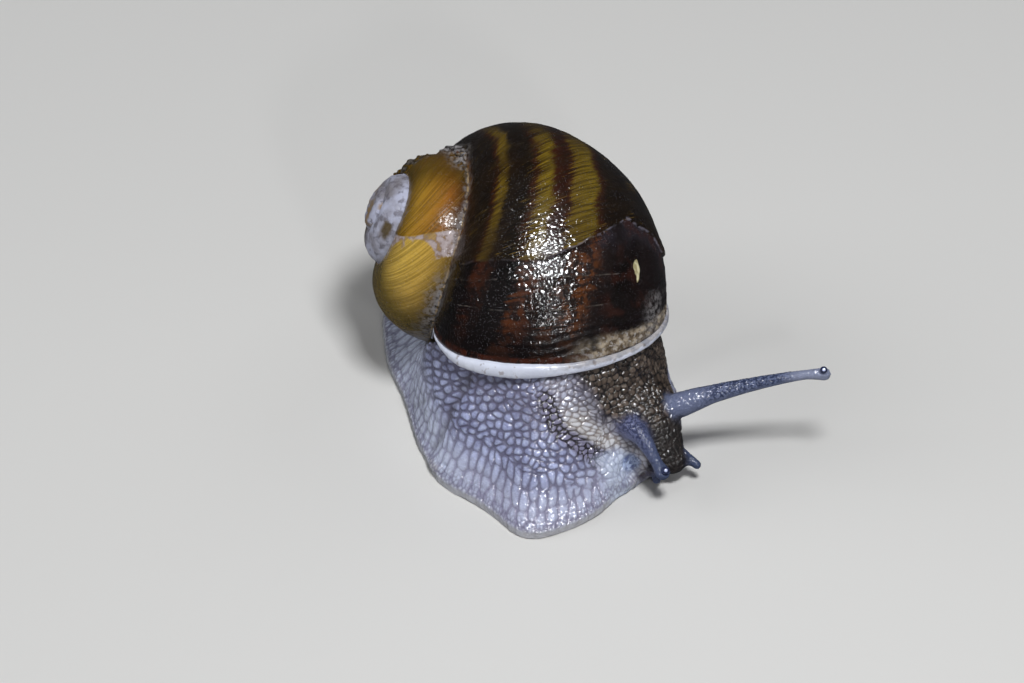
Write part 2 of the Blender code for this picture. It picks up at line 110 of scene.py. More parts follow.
def hashed(cells, seed):
    """A repeatable number from 0 to 1 for each whole-numbered cell."""
    c = cells.astype(np.int64)
    h = c[..., 0] * 73856093 ^ c[..., 1] * 19349663 ^ c[..., 2] * 83492791 ^ (seed * 40503 + 977)
    h = (h ^ (h >> 13)) * 1274126177 & 0x7FFFFFFF
    h = (h ^ (h >> 15)) * 668265263 & 0x7FFFFFFF
    return (h ^ (h >> 14)) % 65536 / 65535


def soft_noise(points, spacing, seed):
    """Smooth values from -1 to 1, whose lumps are about one spacing across."""
    p = points / spacing
    cell = np.floor(p)
    f = p - cell
    f = f * f * (3 - 2 * f)
    total = np.zeros(len(points))
    for corner in itertools.product((0, 1), repeat=3):
        weight = np.prod(np.where(np.array(corner), f, 1 - f), axis=1)
        total += weight * (hashed(cell + corner, seed) * 2 - 1)
    return total


one_place = np.array([[0.3, 1.7, 2.2]])
print("soft noise at one place:", soft_noise(one_place, 1.0, 1).round(3))

# %% [markdown]
# Pebbled skin is a pattern of cells.  Seeds are scattered, every point belongs to its nearest
# seed, and the groove lies where two seeds are equally near.  Adding up all the edges softly, in
# place of taking the nearest one, rounds the corners as skin does.

# %% Cells round scattered seeds


def pebbles(points, seed, flat=False, jitter=0.8, wrap=0, faint=None, round_off=9.0):
    """How far each point lies inside its cell, and a number for the cell; there is one seed a unit.

    With flat, the cells lie in the first two directions only.  wrap is the number of cells after
    which the first direction closes on itself.  jitter is how far seeds stray, one number or a rule
    that gives one for each cell and direction.  faint lifts the grooves that cross the second
    direction."""
    layers = (0,) if flat else (-1, 0, 1)
    home = np.floor(points)
    if flat:
        home[:, 2] = 0

    def seed_point(offset):
        cell = home + offset
        named = cell.copy()
        if wrap:
            named[:, 0] %= wrap
        stray = np.stack([hashed(named, seed + k) - 0.5 for k in (1, 2, 3)], axis=1)
        spot = 0.5 + stray * (jitter(cell) if callable(jitter) else jitter)
        if flat:
            spot[:, 2] = 0
        return cell + spot, hashed(named, seed)

    flat_points = points * (1, 1, 0) if flat else points
    offsets = [np.array(o) for o in itertools.product((-1, 0, 1), (-1, 0, 1), layers)]
    best = np.full(len(points), 1e9)
    nearest = np.zeros_like(points)
    number = np.zeros(len(points))
    for offset in offsets:
        spot, value = seed_point(offset)
        away = ((spot - flat_points) ** 2).sum(axis=1)
        closer = away < best
        best = np.where(closer, away, best)
        nearest = np.where(closer[:, None], spot, nearest)
        number = np.where(closer, value, number)
    crowd = np.zeros(len(points))
    for offset in offsets:
        spot, _ = seed_point(offset)
        apart = spot - nearest
        length = np.sqrt((apart ** 2).sum(axis=1))
        way = apart / np.maximum(length, 1e-9)[:, None]
        edge = (((spot + nearest) / 2 - flat_points) * way).sum(axis=1)
        if faint is not None:
            edge = edge + faint * way[:, 1] ** 4
        crowd += np.where(length > 1e-6, np.exp(-round_off * edge), 0.0)
    return -np.log(crowd) / round_off, number


print("a point in a middle cell lies inside it by", pebbles(one_place, 1)[0].round(2))

# %% Colours


def srgb(red, green, blue):
    """A colour as a painter names it, 0 to 255, turned into light."""
    parts = [c / 255 for c in (red, green, blue)]
    parts = [c / 12.92 if c <= 0.04045 else ((c + 0.055) / 1.055) ** 2.4 for c in parts]
    return (*parts, 1.0)


print("half bright gives", round(srgb(128, 128, 128)[0], 3), "of the light")

# %% [markdown]
# ## Helpers for meshes
#
# A mesh is a list of points and of faces that name their corners.  A closed piece needs every
# face to look outward, or it renders and measures wrong, so that is mended here once for all
# pieces.  Numbers painted on the points carry what the form knows, such as how old the shell is,
# to the materials.

# %% Helpers for meshes


def solid_mesh(name, points, faces):
    """A closed mesh from points in millimetres, with every face turned outward."""
    bm = bmesh.new()
    made = [bm.verts.new(p * MM) for p in points]
    for face in faces:
        bm.faces.new([made[k] for k in face])
    bmesh.ops.recalc_face_normals(bm, faces=bm.faces)
    if bm.calc_volume(signed=True) < 0:
        bmesh.ops.reverse_faces(bm, faces=bm.faces)
    mesh = bpy.data.meshes.new(name)
    bm.to_mesh(mesh)
    bm.free()
    mesh.shade_smooth()
    return mesh


def points_of(mesh):
    points = np.empty(len(mesh.vertices) * 3)
    mesh.vertices.foreach_get("co", points)
    return points.reshape(-1, 3)


def set_points(mesh, points):
    mesh.vertices.foreach_set("co", points.ravel())
    mesh.update()


def normals_of(mesh):
    normals = np.empty(len(mesh.vertices) * 3)
    mesh.vertex_normals.foreach_get("vector", normals)
    return normals.reshape(-1, 3)


def paint(mesh, **values):
    """Writes one number a point for each name, for the materials to read."""
    for name, value in values.items():
        layer = mesh.attributes.new(name, "FLOAT", "POINT")
        layer.data.foreach_set("value", value.astype(np.float32))


def place_piece(name, mesh, slot, *nodes):
    """Puts a mesh in the scene in place of the solids that it dresses."""
    obj = bpy.data.objects.new(name, mesh)
    bpy.context.scene.collection.objects.link(obj)
    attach(obj, "root")
    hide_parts(*nodes)
    print(name, "has", len(mesh.vertices), "points")


print("pieces can be placed")


# %% [markdown]
# ## The camera, the floor and the lights
#
# The snail is seen from its right side and well above.  A long lens from far away keeps the small
# body free of the bulge that a near lens gives.

# %% Camera
VIEW_HEIGHT = math.radians(42)
VIEW_FAR = 1500.0
VIEW_WIDTH = 102.4
LOOK_AT = Vector((-2.8, 0.0, 7.9))

camera_data = bpy.data.cameras.new("camera")
camera_data.sensor_width = 36.0
camera_data.lens = camera_data.sensor_width * VIEW_FAR / VIEW_WIDTH
camera_data.clip_start, camera_data.clip_end = 0.05, 20.0
camera = bpy.data.objects.new("camera", camera_data)
bpy.context.scene.collection.objects.link(camera)
towards = Vector((0, -math.cos(VIEW_HEIGHT), math.sin(VIEW_HEIGHT)))
camera.location = (LOOK_AT + towards * VIEW_FAR) * MM
camera.rotation_euler = (math.pi / 2 - VIEW_HEIGHT, 0, 0)
bpy.context.scene.camera = camera
bpy.context.scene.view_settings.view_transform = "Standard"
print("lens in mm:", round(camera_data.lens))

# %% [markdown]
# The floor is a plain pale sheet, wide enough that its edge is never seen.  In the dark wet shell
# its mirror image would lie like a veil, so the sheet is left out of reflections and only gives
# its light.

# %% Floor
FLOOR_HALF = 3000.0
corners = [(-FLOOR_HALF * MM, -FLOOR_HALF * MM, 0), (FLOOR_HALF * MM, -FLOOR_HALF * MM, 0),
           (FLOOR_HALF * MM, FLOOR_HALF * MM, 0), (-FLOOR_HALF * MM, FLOOR_HALF * MM, 0)]
floor_mesh = bpy.data.meshes.new("floor")
floor_mesh.from_pydata(corners, [], [(0, 1, 2, 3)])
floor_paint = bpy.data.materials.new("pale floor")
floor_paint.use_nodes = True
floor_shader = floor_paint.node_tree.nodes["Principled BSDF"]
floor_shader.inputs["Base Color"].default_value = srgb(214, 212, 208)
floor_shader.inputs["Roughness"].default_value = 0.9
floor_mesh.materials.append(floor_paint)
floor = bpy.data.objects.new("floor", floor_mesh)
bpy.context.scene.collection.objects.link(floor)
floor.visible_glossy = False
print("floor:", round(2 * FLOOR_HALF * MM, 1), "m across")

# %% [markdown]
# A wet animal shows its lights as sparks.  The key lamp is fairly small and high, and a smaller,
# low one in front gives the sparks on the snail's near side.  Two wide dim lamps fill the shade,
# and they aren't mirrored, because a wide lamp's image would turn the sparks into patches.

# %% Lights
AIM_AT = Vector((0, 0, 8))                     # the lamps look at the snail's middle, in mm
LAMP_COLOUR = (0.95, 0.97, 1.0)                # a little cooler than white


def add_light(name, bearing, rise, far, size, power, mirrored=True):
    """A square lamp that looks at the snail, from a bearing from +X and a rise, in degrees."""
    b, r = math.radians(bearing), math.radians(rise)
    back = Vector((math.cos(b) * math.cos(r), math.sin(b) * math.cos(r), math.sin(r)))
    data = bpy.data.lights.new(name, "AREA")
    data.size = size * MM
    data.energy = power
    data.color = LAMP_COLOUR
    lamp = bpy.data.objects.new(name, data)
    lamp.location = (AIM_AT + back * far) * MM
    lamp.rotation_mode = "QUATERNION"
    lamp.rotation_quaternion = back.to_track_quat("Z", "Y")
    lamp.visible_glossy = mirrored
    bpy.context.scene.collection.objects.link(lamp)


add_light("key", -66, 68, 400, 85, 1.25)
add_light("front", -75, 30, 400, 30, 0.16)
add_light("fill", 175, 35, 500, 300, 0.75, mirrored=False)
add_light("rim", 40, 40, 500, 300, 0.25, mirrored=False)
world = bpy.data.worlds.new("studio")
world.use_nodes = True
backdrop = world.node_tree.nodes["Background"]
backdrop.inputs["Color"].default_value = srgb(225, 230, 240)
backdrop.inputs["Strength"].default_value = 0.05
bpy.context.scene.world = world
print("lamps:", len(bpy.data.lights))

# %% [markdown]
# ## The shell's form
#
# A snail's shell is one tube that grows as it winds round an axis, each whorl a fixed number of
# times the one before.  It could be sculpted, or turned with a Screw modifier, but only the
# growth rule itself puts every band and growth line where the animal would lay it down.  Each
# point is named by how many turns the shell had grown and by its angle round the tube, and those
# two numbers later drive the colours.

# %% The shell's growth rule
POLE = np.array((-16.74, 8.49, 19.14))
AXIS_BEARING, AXIS_RISE = math.radians(172.8), math.radians(27.4)
LIP_ANGLE = math.radians(-109.2)
GROWTH, DEPTH_POWER = 1.9, 1.3
TUBE_OUT, TUBE_RADIUS, TUBE_UP, TUBE_DOWN, TUBE_DEPTH = 9.66, 9.18, 11.45, 14.5, 20.7
LIP_DROP, NAVEL_DIP = 0.7, 0.35
WHORLS = 4
LIP_SUTURE_TURN, LIP_NAVEL_TURN = 15 / 360, -112 / 360
LIP_PLANE_TILT, LIP_PLANE_BEARING = math.radians(11.1), math.radians(103.1)
LIP_PLANE_BELOW = -9.1

AXIS = np.array((math.cos(AXIS_BEARING) * math.cos(AXIS_RISE),
                 math.sin(AXIS_BEARING) * math.cos(AXIS_RISE), math.sin(AXIS_RISE)))
AXIS_UP = unit(np.array((0, 0, 1.0)) - AXIS * AXIS[2])
AXIS_SIDE = np.cross(AXIS, AXIS_UP)
LIP_NORMAL = np.array((math.cos(LIP_PLANE_BEARING) * math.sin(LIP_PLANE_TILT),
                       math.sin(LIP_PLANE_BEARING) * math.sin(LIP_PLANE_TILT),
                       math.cos(LIP_PLANE_TILT)))


def tube_middle_depth(turn):
    late = np.maximum(0.0, turn * 6 + 1)
    return TUBE_DEPTH * GROWTH ** (turn * DEPTH_POWER) + LIP_DROP * late ** 2


def tube_section(turn, phi):
    """Distance from the axis and depth below the tip, at an angle phi round the tube."""
    rise = np.sin(phi)
    depth = np.where(rise > 0, -TUBE_UP * rise, -TUBE_DOWN * rise)
    depth = np.where(phi < -math.pi / 2, TUBE_DOWN * (1 - NAVEL_DIP * (1 + rise)), depth)
    size = GROWTH ** turn
    return size * (TUBE_OUT + TUBE_RADIUS * np.cos(phi)), tube_middle_depth(turn) + size * depth


def shell_points(turn, phi):
    out, depth = tube_section(turn, phi)
    angle = LIP_ANGLE - turn * 2 * math.pi
    return (POLE + (out * np.cos(angle))[..., None] * AXIS_UP
            + (out * np.sin(angle))[..., None] * AXIS_SIDE - depth[..., None] * AXIS)


print("a whorl grows by", GROWTH, "a turn")

# %% [markdown]
# Where a whorl starts on the one before, and where the plane of the open lip cuts the tube, have
# no formula.  Both are found by looking along a row of values for the first that falls to zero,
# and then halving the step until it is narrow enough.

# %% Seams and the lip's plane


def crossing(function, grid):
    """For each row of values, where the function first falls to zero along the grid."""
    values = function(grid[None, :])
    first = np.argmax(values <= 0, axis=1)
    low, high = grid[np.maximum(first - 1, 0)], grid[first]
    for _ in range(40):
        middle = (low + high) / 2
        above = function(middle[:, None])[:, 0] > 0
        low, high = np.where(above, middle, low), np.where(above, high, middle)
    return (low + high) / 2


def tube_rise(turn, depth):
    rise = (tube_middle_depth(turn) - depth) / GROWTH ** turn
    return rise / np.where(rise > 0, TUBE_UP, TUBE_DOWN)


def seam_angle(turn):
    """Where a whorl starts, on the whorl before it."""
    def clear_of_it(phi):
        now = turn[:, None]
        out, depth = tube_section(now, phi)
        before = now - 1
        return (((out / GROWTH ** before - TUBE_OUT) / TUBE_RADIUS) ** 2
                + tube_rise(before, depth) ** 2 - 1)
    return crossing(clear_of_it, np.radians(np.arange(30, 176, 1.0)))


def lip_turn(phi):
    """How far the shell has grown at each angle round the tube, where the lip's plane cuts it."""
    def above(turn):
        return (shell_points(turn, phi[:, None] + 0 * turn) - POLE) @ LIP_NORMAL - LIP_PLANE_BELOW
    return np.maximum(crossing(above, np.arange(-120, 36, 2.0) / 360), LIP_NAVEL_TURN)


print("a new whorl starts at", np.degrees(seam_angle(np.zeros(1))).round(1), "degrees")

# %% [markdown]
# The growth rule gives a point for any two numbers, so the surface is a grid of them.  Columns
# follow the growing edge and rows run along the coil.  Only the outside of each whorl is kept,
# from the seam above it to the seam below, and the last columns lean over to meet the plane of
# the open lip.

# %% The grid of shell points
STEPS = 400                                    # columns in one turn
ROWS_SIDE, ROWS_BASE = 110, 70                 # rows on a whorl's side, and under the last whorl
TIP_TOP = math.radians(110)
ROWS = ROWS_SIDE + ROWS_BASE
LAST = WHORLS * STEPS
OPEN = LAST - STEPS

columns = np.arange(LAST + 1)
grown_turn = LIP_SUTURE_TURN - (LAST - columns) / STEPS
top = np.empty(LAST + 1)
top[STEPS:] = seam_angle(grown_turn[STEPS:])
top[:STEPS] = TIP_TOP + (top[STEPS] - TIP_TOP) * columns[:STEPS] / STEPS
later_out, later_depth = tube_section(grown_turn[STEPS:], top[STEPS:])
under = grown_turn[:OPEN + 1]
low = np.arctan2(tube_rise(under, later_depth),
                 (later_out / GROWTH ** under - TUBE_OUT) / TUBE_RADIUS)

side_share = np.arange(ROWS_SIDE + 1) / ROWS_SIDE
base_share = np.arange(1, ROWS_BASE + 1) / ROWS_BASE
lip_phi = np.concatenate([top[-1] + (low[-1] - top[-1]) * side_share,
                          low[-1] + (-math.pi - low[-1]) * base_share])
lip_grown = np.concatenate([[LIP_SUTURE_TURN], lip_turn(lip_phi[1:])])

PHI = np.tile(lip_phi, (LAST + 1, 1))
low_of = low[np.minimum(columns, OPEN)]
PHI[:, :ROWS_SIDE + 1] = top[:, None] + (low_of - top)[:, None] * side_share
PHI[OPEN:, ROWS_SIDE] = low[-1]
share = np.clip((columns - OPEN) / STEPS, 0, 1)[:, None]
TURN_AT = np.where(share > 0, grown_turn[OPEN] + (lip_grown - grown_turn[OPEN]) * share,
                   grown_turn[:, None] + 0 * lip_grown)
print("shell grid:", LAST + 1, "columns,", ROWS + 1, "rows")

# %% [markdown]
# ## The shell's surface
#
# A real shell is never a clean spiral.  It thickens and wrinkles near the lip, it carries a scar
# where growth stopped and began again, and the oldest whorls are worn to chalk.  These could be
# painted on, but a scar that catches the light has to be a step in the mesh, so each one moves
# the points a little along their normals.  The places are kept as numbers on the points for the
# colours to use.

# %% Join the grid into one skin of faces
FAR_FROM_SEAM = 50.0
kept = np.ones((LAST + 1, ROWS + 1), bool)
kept[:OPEN, ROWS_SIDE + 1:] = False
kept[STEPS:, 0] = False                       # a whorl's top edge is the seam of the whorl before
number_of = np.cumsum(kept.ravel()).reshape(kept.shape) - 1
number_of[STEPS:, 0] = number_of[:OPEN + 1, ROWS_SIDE]


def quads_of(index):
    return np.stack([index[:-1, :-1], index[1:, :-1], index[1:, 1:], index[:-1, 1:]],
                    axis=-1).reshape(-1, 4)


quads = np.concatenate([quads_of(number_of[:OPEN + 1, :ROWS_SIDE + 1]),
                        quads_of(number_of[OPEN:])])
shell_xyz = shell_points(TURN_AT, PHI)[kept]
phi_at = np.degrees(PHI[kept])
grown_at = np.tile(((columns - LAST) / STEPS)[:, None], (1, ROWS + 1))[kept]

width_of = TUBE_RADIUS * GROWTH ** TURN_AT
from_top = (top[:, None] - PHI) * width_of
from_low = np.where(np.arange(ROWS + 1) <= ROWS_SIDE, (PHI - low_of[:, None]) * width_of,
                    FAR_FROM_SEAM)
from_low[OPEN:] = FAR_FROM_SEAM
seam_at = np.minimum(from_top, from_low)[kept]
seam_turn_at = np.where(from_low < from_top, 1.0, 0.0)[kept] + grown_at
print("skin of the shell:", len(quads), "four-sided faces")

# %% [markdown]
# The grid is open at the tip, in the navel and at the mouth, where the body comes out.  A closed
# piece can be measured and printed, so each hole gets a fan of triangles round one new point.

# %% Close the tip, the navel and the mouth


def fan(loop, lift, first_free):
    """Triangles from a loop of points to a new point in its middle."""
    middle = shell_xyz[loop].mean(axis=0) + lift
    return middle, [(a, b, first_free) for a, b in zip(loop, np.roll(loop, -1))]


tip_loop = np.concatenate([number_of[:STEPS + 1, 0], number_of[0, ROWS_SIDE - 1:0:-1]])
navel_edge = number_of[OPEN:, ROWS]
free = len(shell_xyz)
tip_point, tip_faces = fan(tip_loop, 0.25 * AXIS, free)
navel_point, navel_faces = fan(navel_edge, 0 * AXIS, free + 1)
mouth_loop = np.concatenate([number_of[LAST], [free + 1], number_of[OPEN, ROWS:ROWS_SIDE:-1]])
shell_xyz = np.concatenate([shell_xyz, [tip_point, navel_point]])
mouth_point, mouth_faces = fan(mouth_loop, 3.0 * LIP_NORMAL, free + 2)
shell_xyz = np.concatenate([shell_xyz, [mouth_point]])
phi_at = np.append(phi_at, [90, -180, -180])
grown_at = np.append(grown_at, [-WHORLS, -0.5, 0])
seam_at = np.append(seam_at, [FAR_FROM_SEAM] * 3)
seam_turn_at = np.append(seam_turn_at, [-WHORLS, -0.5, 0])
shell_faces = [tuple(q) for q in quads] + tip_faces + navel_faces[:-1] + mouth_faces
shell_mesh = solid_mesh("shell_surface", shell_xyz, shell_faces)
print("shell points:", len(shell_xyz), "faces:", len(shell_faces))

# %% [markdown]
# Growth lines are slanted a little against the coil, more so on the older whorls.  Two lengths in
# millimetres, one along the coil and one across it, keep every line as fine on a small old whorl
# as on the last one.  The scar is a ragged line of its own, given by its place at twelve angles.

# %% Growth marks: where each one lies
whorl_size = GROWTH ** grown_at
slant = 0.0033 * np.clip(-grown_at / 0.8, 0, 1)
line_turn = grown_at - slant * (phi_at - 30)
ROUND_MM = 2 * math.pi * (TUBE_OUT + TUBE_RADIUS) / math.log(GROWTH)
line_mm = ROUND_MM * GROWTH ** line_turn       # distance along the coil, across the growth lines
across_mm = np.radians(phi_at) * TUBE_RADIUS * whorl_size

wobble = soft_noise(shell_xyz, 2.2, 3)
fine_wobble = soft_noise(shell_xyz, 0.7, 4)
scar_at = np.interp(phi_at, (-90, -57, -45, -32, -23, -11, -4, 2, 16, 31, 60, 90),
                    (-0.115, -0.128, -0.156, -0.163, -0.172, -0.150, -0.144, -0.133, -0.119,
                     -0.122, -0.122, -0.12))
scar_at = scar_at + 0.003 * wobble + 0.0015 * fine_wobble
since_scar = grown_at - scar_at                # in turns; negative on the older shell
step_at = -1.229 + 0.001 * phi_at + 0.006 * wobble
since_step = grown_at - step_at
SECOND_LINE, THIRD_LINE = -0.1, -0.064         # two faint pauses after the scar, in turns
second = grown_at - (SECOND_LINE + 0.002 * wobble)
third = grown_at - (THIRD_LINE + 0.002 * wobble)
print("the scar lies", -scar_at.max().round(3), "to", -scar_at.min().round(3), "turns back")

# %% [markdown]
# At a scar the older shell ends as a thin plate that stands up over the newer one, so its height
# rises towards the line and drops sharply past it.  Near the lip the shell is folded across the
# growth lines, and finer swells follow it all over.

# %% Steps, folds and swells
marks = np.zeros(len(shell_xyz))               # how far each point moves outward, in mm
plate = 1 + 0.9 * smooth_between(5, -25, phi_at)          # the scar stands up most below the bands
marks += (0.14 * plate * smooth_between(0.002, -0.003, since_scar)
          * smooth_between(-0.06, -0.005, since_scar))
marks += 0.06 * bump_at(0, 0.006, since_scar) * fine_wobble
marks += (0.10 * smooth_between(0.004, -0.004, since_step)
          * smooth_between(-0.08, -0.01, since_step))
marks += 0.05 * bump_at(0, 0.004, second) + 0.04 * bump_at(0, 0.003, third)

FOLDS_REACH = -0.075                           # how far back from the edge, in turns
near_lip = smooth_between(FOLDS_REACH, -0.015, grown_at) * smooth_between(-100, -60, phi_at)
folds = np.sin(2 * math.pi * (grown_at / 0.0105 + 0.55 * soft_noise(shell_xyz, 5.0, 8)))


def coil_places(along, across):
    return np.stack([along, across, 0 * along], axis=1)


fold_height = 0.5 + 0.5 * soft_noise(coil_places(line_mm / 3, across_mm), 5.0, 9)
marks += 0.11 * near_lip * folds * fold_height * smooth_between(0.0, -0.012, grown_at)

swell = soft_noise(coil_places(line_mm, across_mm / 9), 1.1, 11)
swell += 0.6 * soft_noise(coil_places(line_mm, across_mm / 5), 0.5, 12)
marks += 0.024 * swell * np.sqrt(whorl_size)
marks += 0.018 * soft_noise(shell_xyz, 0.8, 13) * np.sqrt(whorl_size)
print("folded points:", int((near_lip > 0.5).sum()))

# %% [markdown]
# The oldest whorls have lost their brown skin and lie a little lower.  A crust of dried slime and
# soil fills the seam behind the newest whorl, and dust lies in the seams and along the lip.
# Crust has real thickness, and so it is pushed out, while dust is mostly a colour.

# %% Wear, crust and dust
worn = smooth_between(-1.86, -1.97, grown_at + 0.03 * wobble)
marks -= worn * (0.05 + 0.10 * np.maximum(0, fine_wobble)) * np.sqrt(whorl_size)
marks += worn * 0.05 * soft_noise(shell_xyz, 0.45, 16)

seam_edge = seam_at + 0.35 * wobble + 0.25 * fine_wobble
crust = (smooth_between(1.9, 0.5, seam_edge) * smooth_between(-0.34, -0.41, seam_turn_at)
         * smooth_between(-0.66, -0.56, seam_turn_at))
seam_dust = smooth_between(0.5, 0.15, seam_edge) * smooth_between(-0.9, -0.7, seam_turn_at)
mouth_dust = smooth_between(1.7, 0.5, seam_edge) * smooth_between(-0.17, -0.12, seam_turn_at)
edge_dust = bump_at(-54, 14, phi_at + 4 * wobble) * smooth_between(-0.075, -0.05, grown_at)
dust = np.clip(crust + 0.55 * seam_dust + 0.6 * mouth_dust + 0.7 * edge_dust, 0, 1)
marks += crust * 0.75 * np.maximum(0, soft_noise(shell_xyz, 0.6, 15) + 0.35)
marks += (dust - crust) * 0.07 * np.maximum(0, soft_noise(shell_xyz, 0.4, 17))
print("dusty points:", int((dust > 0.5).sum()))

# %% [markdown]
# The yellow between the bands comes and goes as the shell grows, in the wide stripe by the middle
# of the whorl and in the thin one near the tip side at different times.  Each is a short list of
# places back from the edge with a brightness for each.  A glossier patch lies on the newest
# bands.

# %% Bright stretches and gloss
wide_bright = np.interp(grown_at + 0.01 * wobble,
                        (-1.0, -0.75, -0.62, -0.5, -0.42, -0.34, -0.29, -0.20, -0.15),
                        (0.9, 0.5, 0.8, 0.35, 0.75, 0.2, 1.0, 1.0, 0.65))
thin_bright = np.interp(grown_at + 0.01 * wobble,
                        (-1.0, -0.6, -0.4, -0.36, -0.30, -0.275, -0.245, -0.235, -0.19, -0.155),
                        (0.6, 0.3, 0.6, 0.95, 0.95, 0.3, 0.35, 0.9, 0.85, 0.35))
bright = np.where(phi_at > 40, thin_bright, wide_bright)
gloss = (smooth_between(-22, 2, phi_at) * smooth_between(62, 42, phi_at)
         * smooth_between(-0.26, -0.20, grown_at) * smooth_between(-0.02, -0.05, grown_at))
print("mean brightness of the stripes:", round(float(bright.mean()), 2))

# %% [markdown]
# Below the bands the newest shell has a small chip, a slanted sliver of pale lime, and crumbs of
# soil stick to an old whorl.  The sliver is a distance from a line that widens and narrows again,
# and both stand up a little from the surface.

# %% Chip and crumbs
CHIP_TOP, CHIP_FOOT = (-0.119, -31.5), (-0.078, -36.5)      # turns back from the edge, and degrees
chip_t = np.clip((grown_at - CHIP_TOP[0]) / (CHIP_FOOT[0] - CHIP_TOP[0]), 0, 1)
chip_off = np.radians(phi_at - CHIP_TOP[1] - chip_t * (CHIP_FOOT[1] - CHIP_TOP[1])) * TUBE_RADIUS
chip_past = grown_at - CHIP_TOP[0] - chip_t * (CHIP_FOOT[0] - CHIP_TOP[0])
chip_past *= 2 * math.pi * (TUBE_OUT + TUBE_RADIUS)
chip_wide = np.interp(chip_t, (0, 0.3, 1), (0.16, 0.38, 0.04))
chip = np.clip(0.5 + (chip_wide - np.hypot(chip_off, chip_past)) / 0.8, 0, 1)
marks += 0.10 * smooth_between(0.4, 0.7, chip)

crumbs = (smooth_between(-1.41, -1.45, grown_at + 0.01 * wobble)
          * smooth_between(-1.75, -1.6, grown_at)
          * smooth_between(40, 60, phi_at + 12 * fine_wobble))
marks += crumbs * 0.3 * np.maximum(0, soft_noise(shell_xyz, 0.45, 18) + 0.2)
print("points on the chip:", int((chip > 0.5).sum()), "under crumbs:", int((crumbs > 0.5).sum()))

# %% [markdown]
# All marks are summed first and pushed out once, along the normals of the clean spiral, so that
# one mark doesn't bend the next.  The open edge itself stays still, because the lip sits on it.

# %% Move the points
edge_still = smooth_between(0.0, -0.006, grown_at)
lifted = shell_xyz + normals_of(shell_mesh) * (marks * edge_still)[:, None]
set_points(shell_mesh, lifted * MM)
paint(shell_mesh, grown=grown_at, phi=phi_at, line_mm=line_mm, across_mm=across_mm,
      since_scar=since_scar, since_step=since_step, second=second, third=third, worn=worn,
      dust=dust, seam_mm=seam_at, bright=bright, gloss=gloss, chip=chip, crumbs=crumbs)
place_piece("shell_dressed", shell_mesh, "shell", "shell")
print("marks in mm:", round(float(marks.min()), 3), "to", round(float(marks.max()), 3))

# %% [markdown]
# ## Shared finishes as node groups
#
# Shell, rim and skin are all wet.  Writing that three times would let the three drift apart, so
# the wet look is a node group with named inputs, and so is the scatter of grit: placed in a
# material, a group only needs its own sizes and strengths.  A material here has many small sums,
# so a few short words for adding and joining nodes come first.

# %% A new node group


def new_group(name, inputs, outputs):
    group = bpy.data.node_groups.new(name, "ShaderNodeTree")
    for label, kind, value in inputs:
        socket = group.interface.new_socket(label, in_out="INPUT", socket_type="NodeSocket" + kind)
        if value is not None:
            socket.default_value = value
    for label, kind in outputs:
        group.interface.new_socket(label, in_out="OUTPUT", socket_type="NodeSocket" + kind)
    start = group.nodes.new("NodeGroupInput")
    end = group.nodes.new("NodeGroupOutput")
    return group, start, end


print("node groups so far:", len(bpy.data.node_groups))

# %% Short words for nodes


class Wiring:
    """Short words for adding and joining shader nodes."""

    def __init__(self, tree):
        self.nodes, self.links = tree.nodes, tree.links

    def set(self, socket, value):
        if isinstance(value, bpy.types.NodeSocket):
            self.links.new(value, socket)
        else:
            socket.default_value = value

    def add(self, kind, output=0, props=(), **inputs):
        node = self.nodes.new("ShaderNode" + kind)
        for key, value in dict(props).items():
            setattr(node, key, value)
        for key, value in inputs.items():
            self.set(node.inputs[key.replace("_", " ")], value)
        return node.outputs[output]

    def value(self, name):
        """A number painted on the points."""
        return self.add("Attribute", "Fac", {"attribute_name": name})

    def math(self, operation, *values):
        node = self.nodes.new("ShaderNodeMath")
        node.operation = operation
        for socket, value in zip(node.inputs, values):
            self.set(socket, value)
        return node.outputs[0]

    def times(self, a, b):
        return self.math("MULTIPLY", a, b)

    def plus(self, a, b):
        return self.math("ADD", a, b)

    def minus(self, a, b):
        return self.math("SUBTRACT", a, b)

    def swing(self, noise, amount):
        """A noise made to sway to both sides of nothing."""
        return self.times(self.minus(noise, 0.5), amount)

    def cells(self, position, per_mm):
        """The place as a count of lumps, of which so many go to a millimetre."""
        return self.add("VectorMath", 0, {"operation": "SCALE"}, Vector=position,
                        Scale=self.times(per_mm, PER_MM))

    def between(self, value, low, high, out_low=0.0, out_high=1.0):
        node = self.nodes.new("ShaderNodeMapRange")
        node.interpolation_type = "SMOOTHSTEP"
        for label, v in (("Value", value), ("From Min", low), ("From Max", high),
                         ("To Min", out_low), ("To Max", out_high)):
            self.set(node.inputs[label], v)
        return node.outputs["Result"]

    def mix(self, share, a, b):
        node = self.nodes.new("ShaderNodeMix")
        node.data_type = "RGBA"
        for index, value in ((0, share), (6, a), (7, b)):
            self.set(node.inputs[index], value)
        return node.outputs[2]

    def lay(self, under, over, mask, amount):
        """One colour laid over another where the mask is, and only so thickly."""
        return self.mix(self.times(mask, amount), under, over)

    def ramp(self, value, stops):
        node = self.nodes.new("ShaderNodeValToRGB")
        elements = node.color_ramp.elements
        while len(elements) < len(stops):
            elements.new(0.5)
        for element, (place, colour) in zip(elements, sorted(stops)):
            element.position, element.color = place, colour
        self.set(node.inputs["Fac"], value)
        return node.outputs["Color"]

    def noise(self, scale, detail, vector, roughness=0.5):
        return self.add("TexNoise", "Fac", Scale=scale, Detail=detail, Vector=vector,
                        Roughness=roughness)

    def bump(self, height, strength, distance):
        return self.add("Bump", "Normal", Height=height, Strength=strength, Distance=distance)


print("words:", ", ".join(word for word in vars(Wiring) if not word.startswith("_")))

# %% A new material
MAIN_SHADER = "Principled BSDF"


def new_material(name):
    material = bpy.data.materials.new(name)
    material.use_nodes = True
    shader = material.node_tree.nodes[MAIN_SHADER]
    return material, shader, Wiring(material.node_tree)


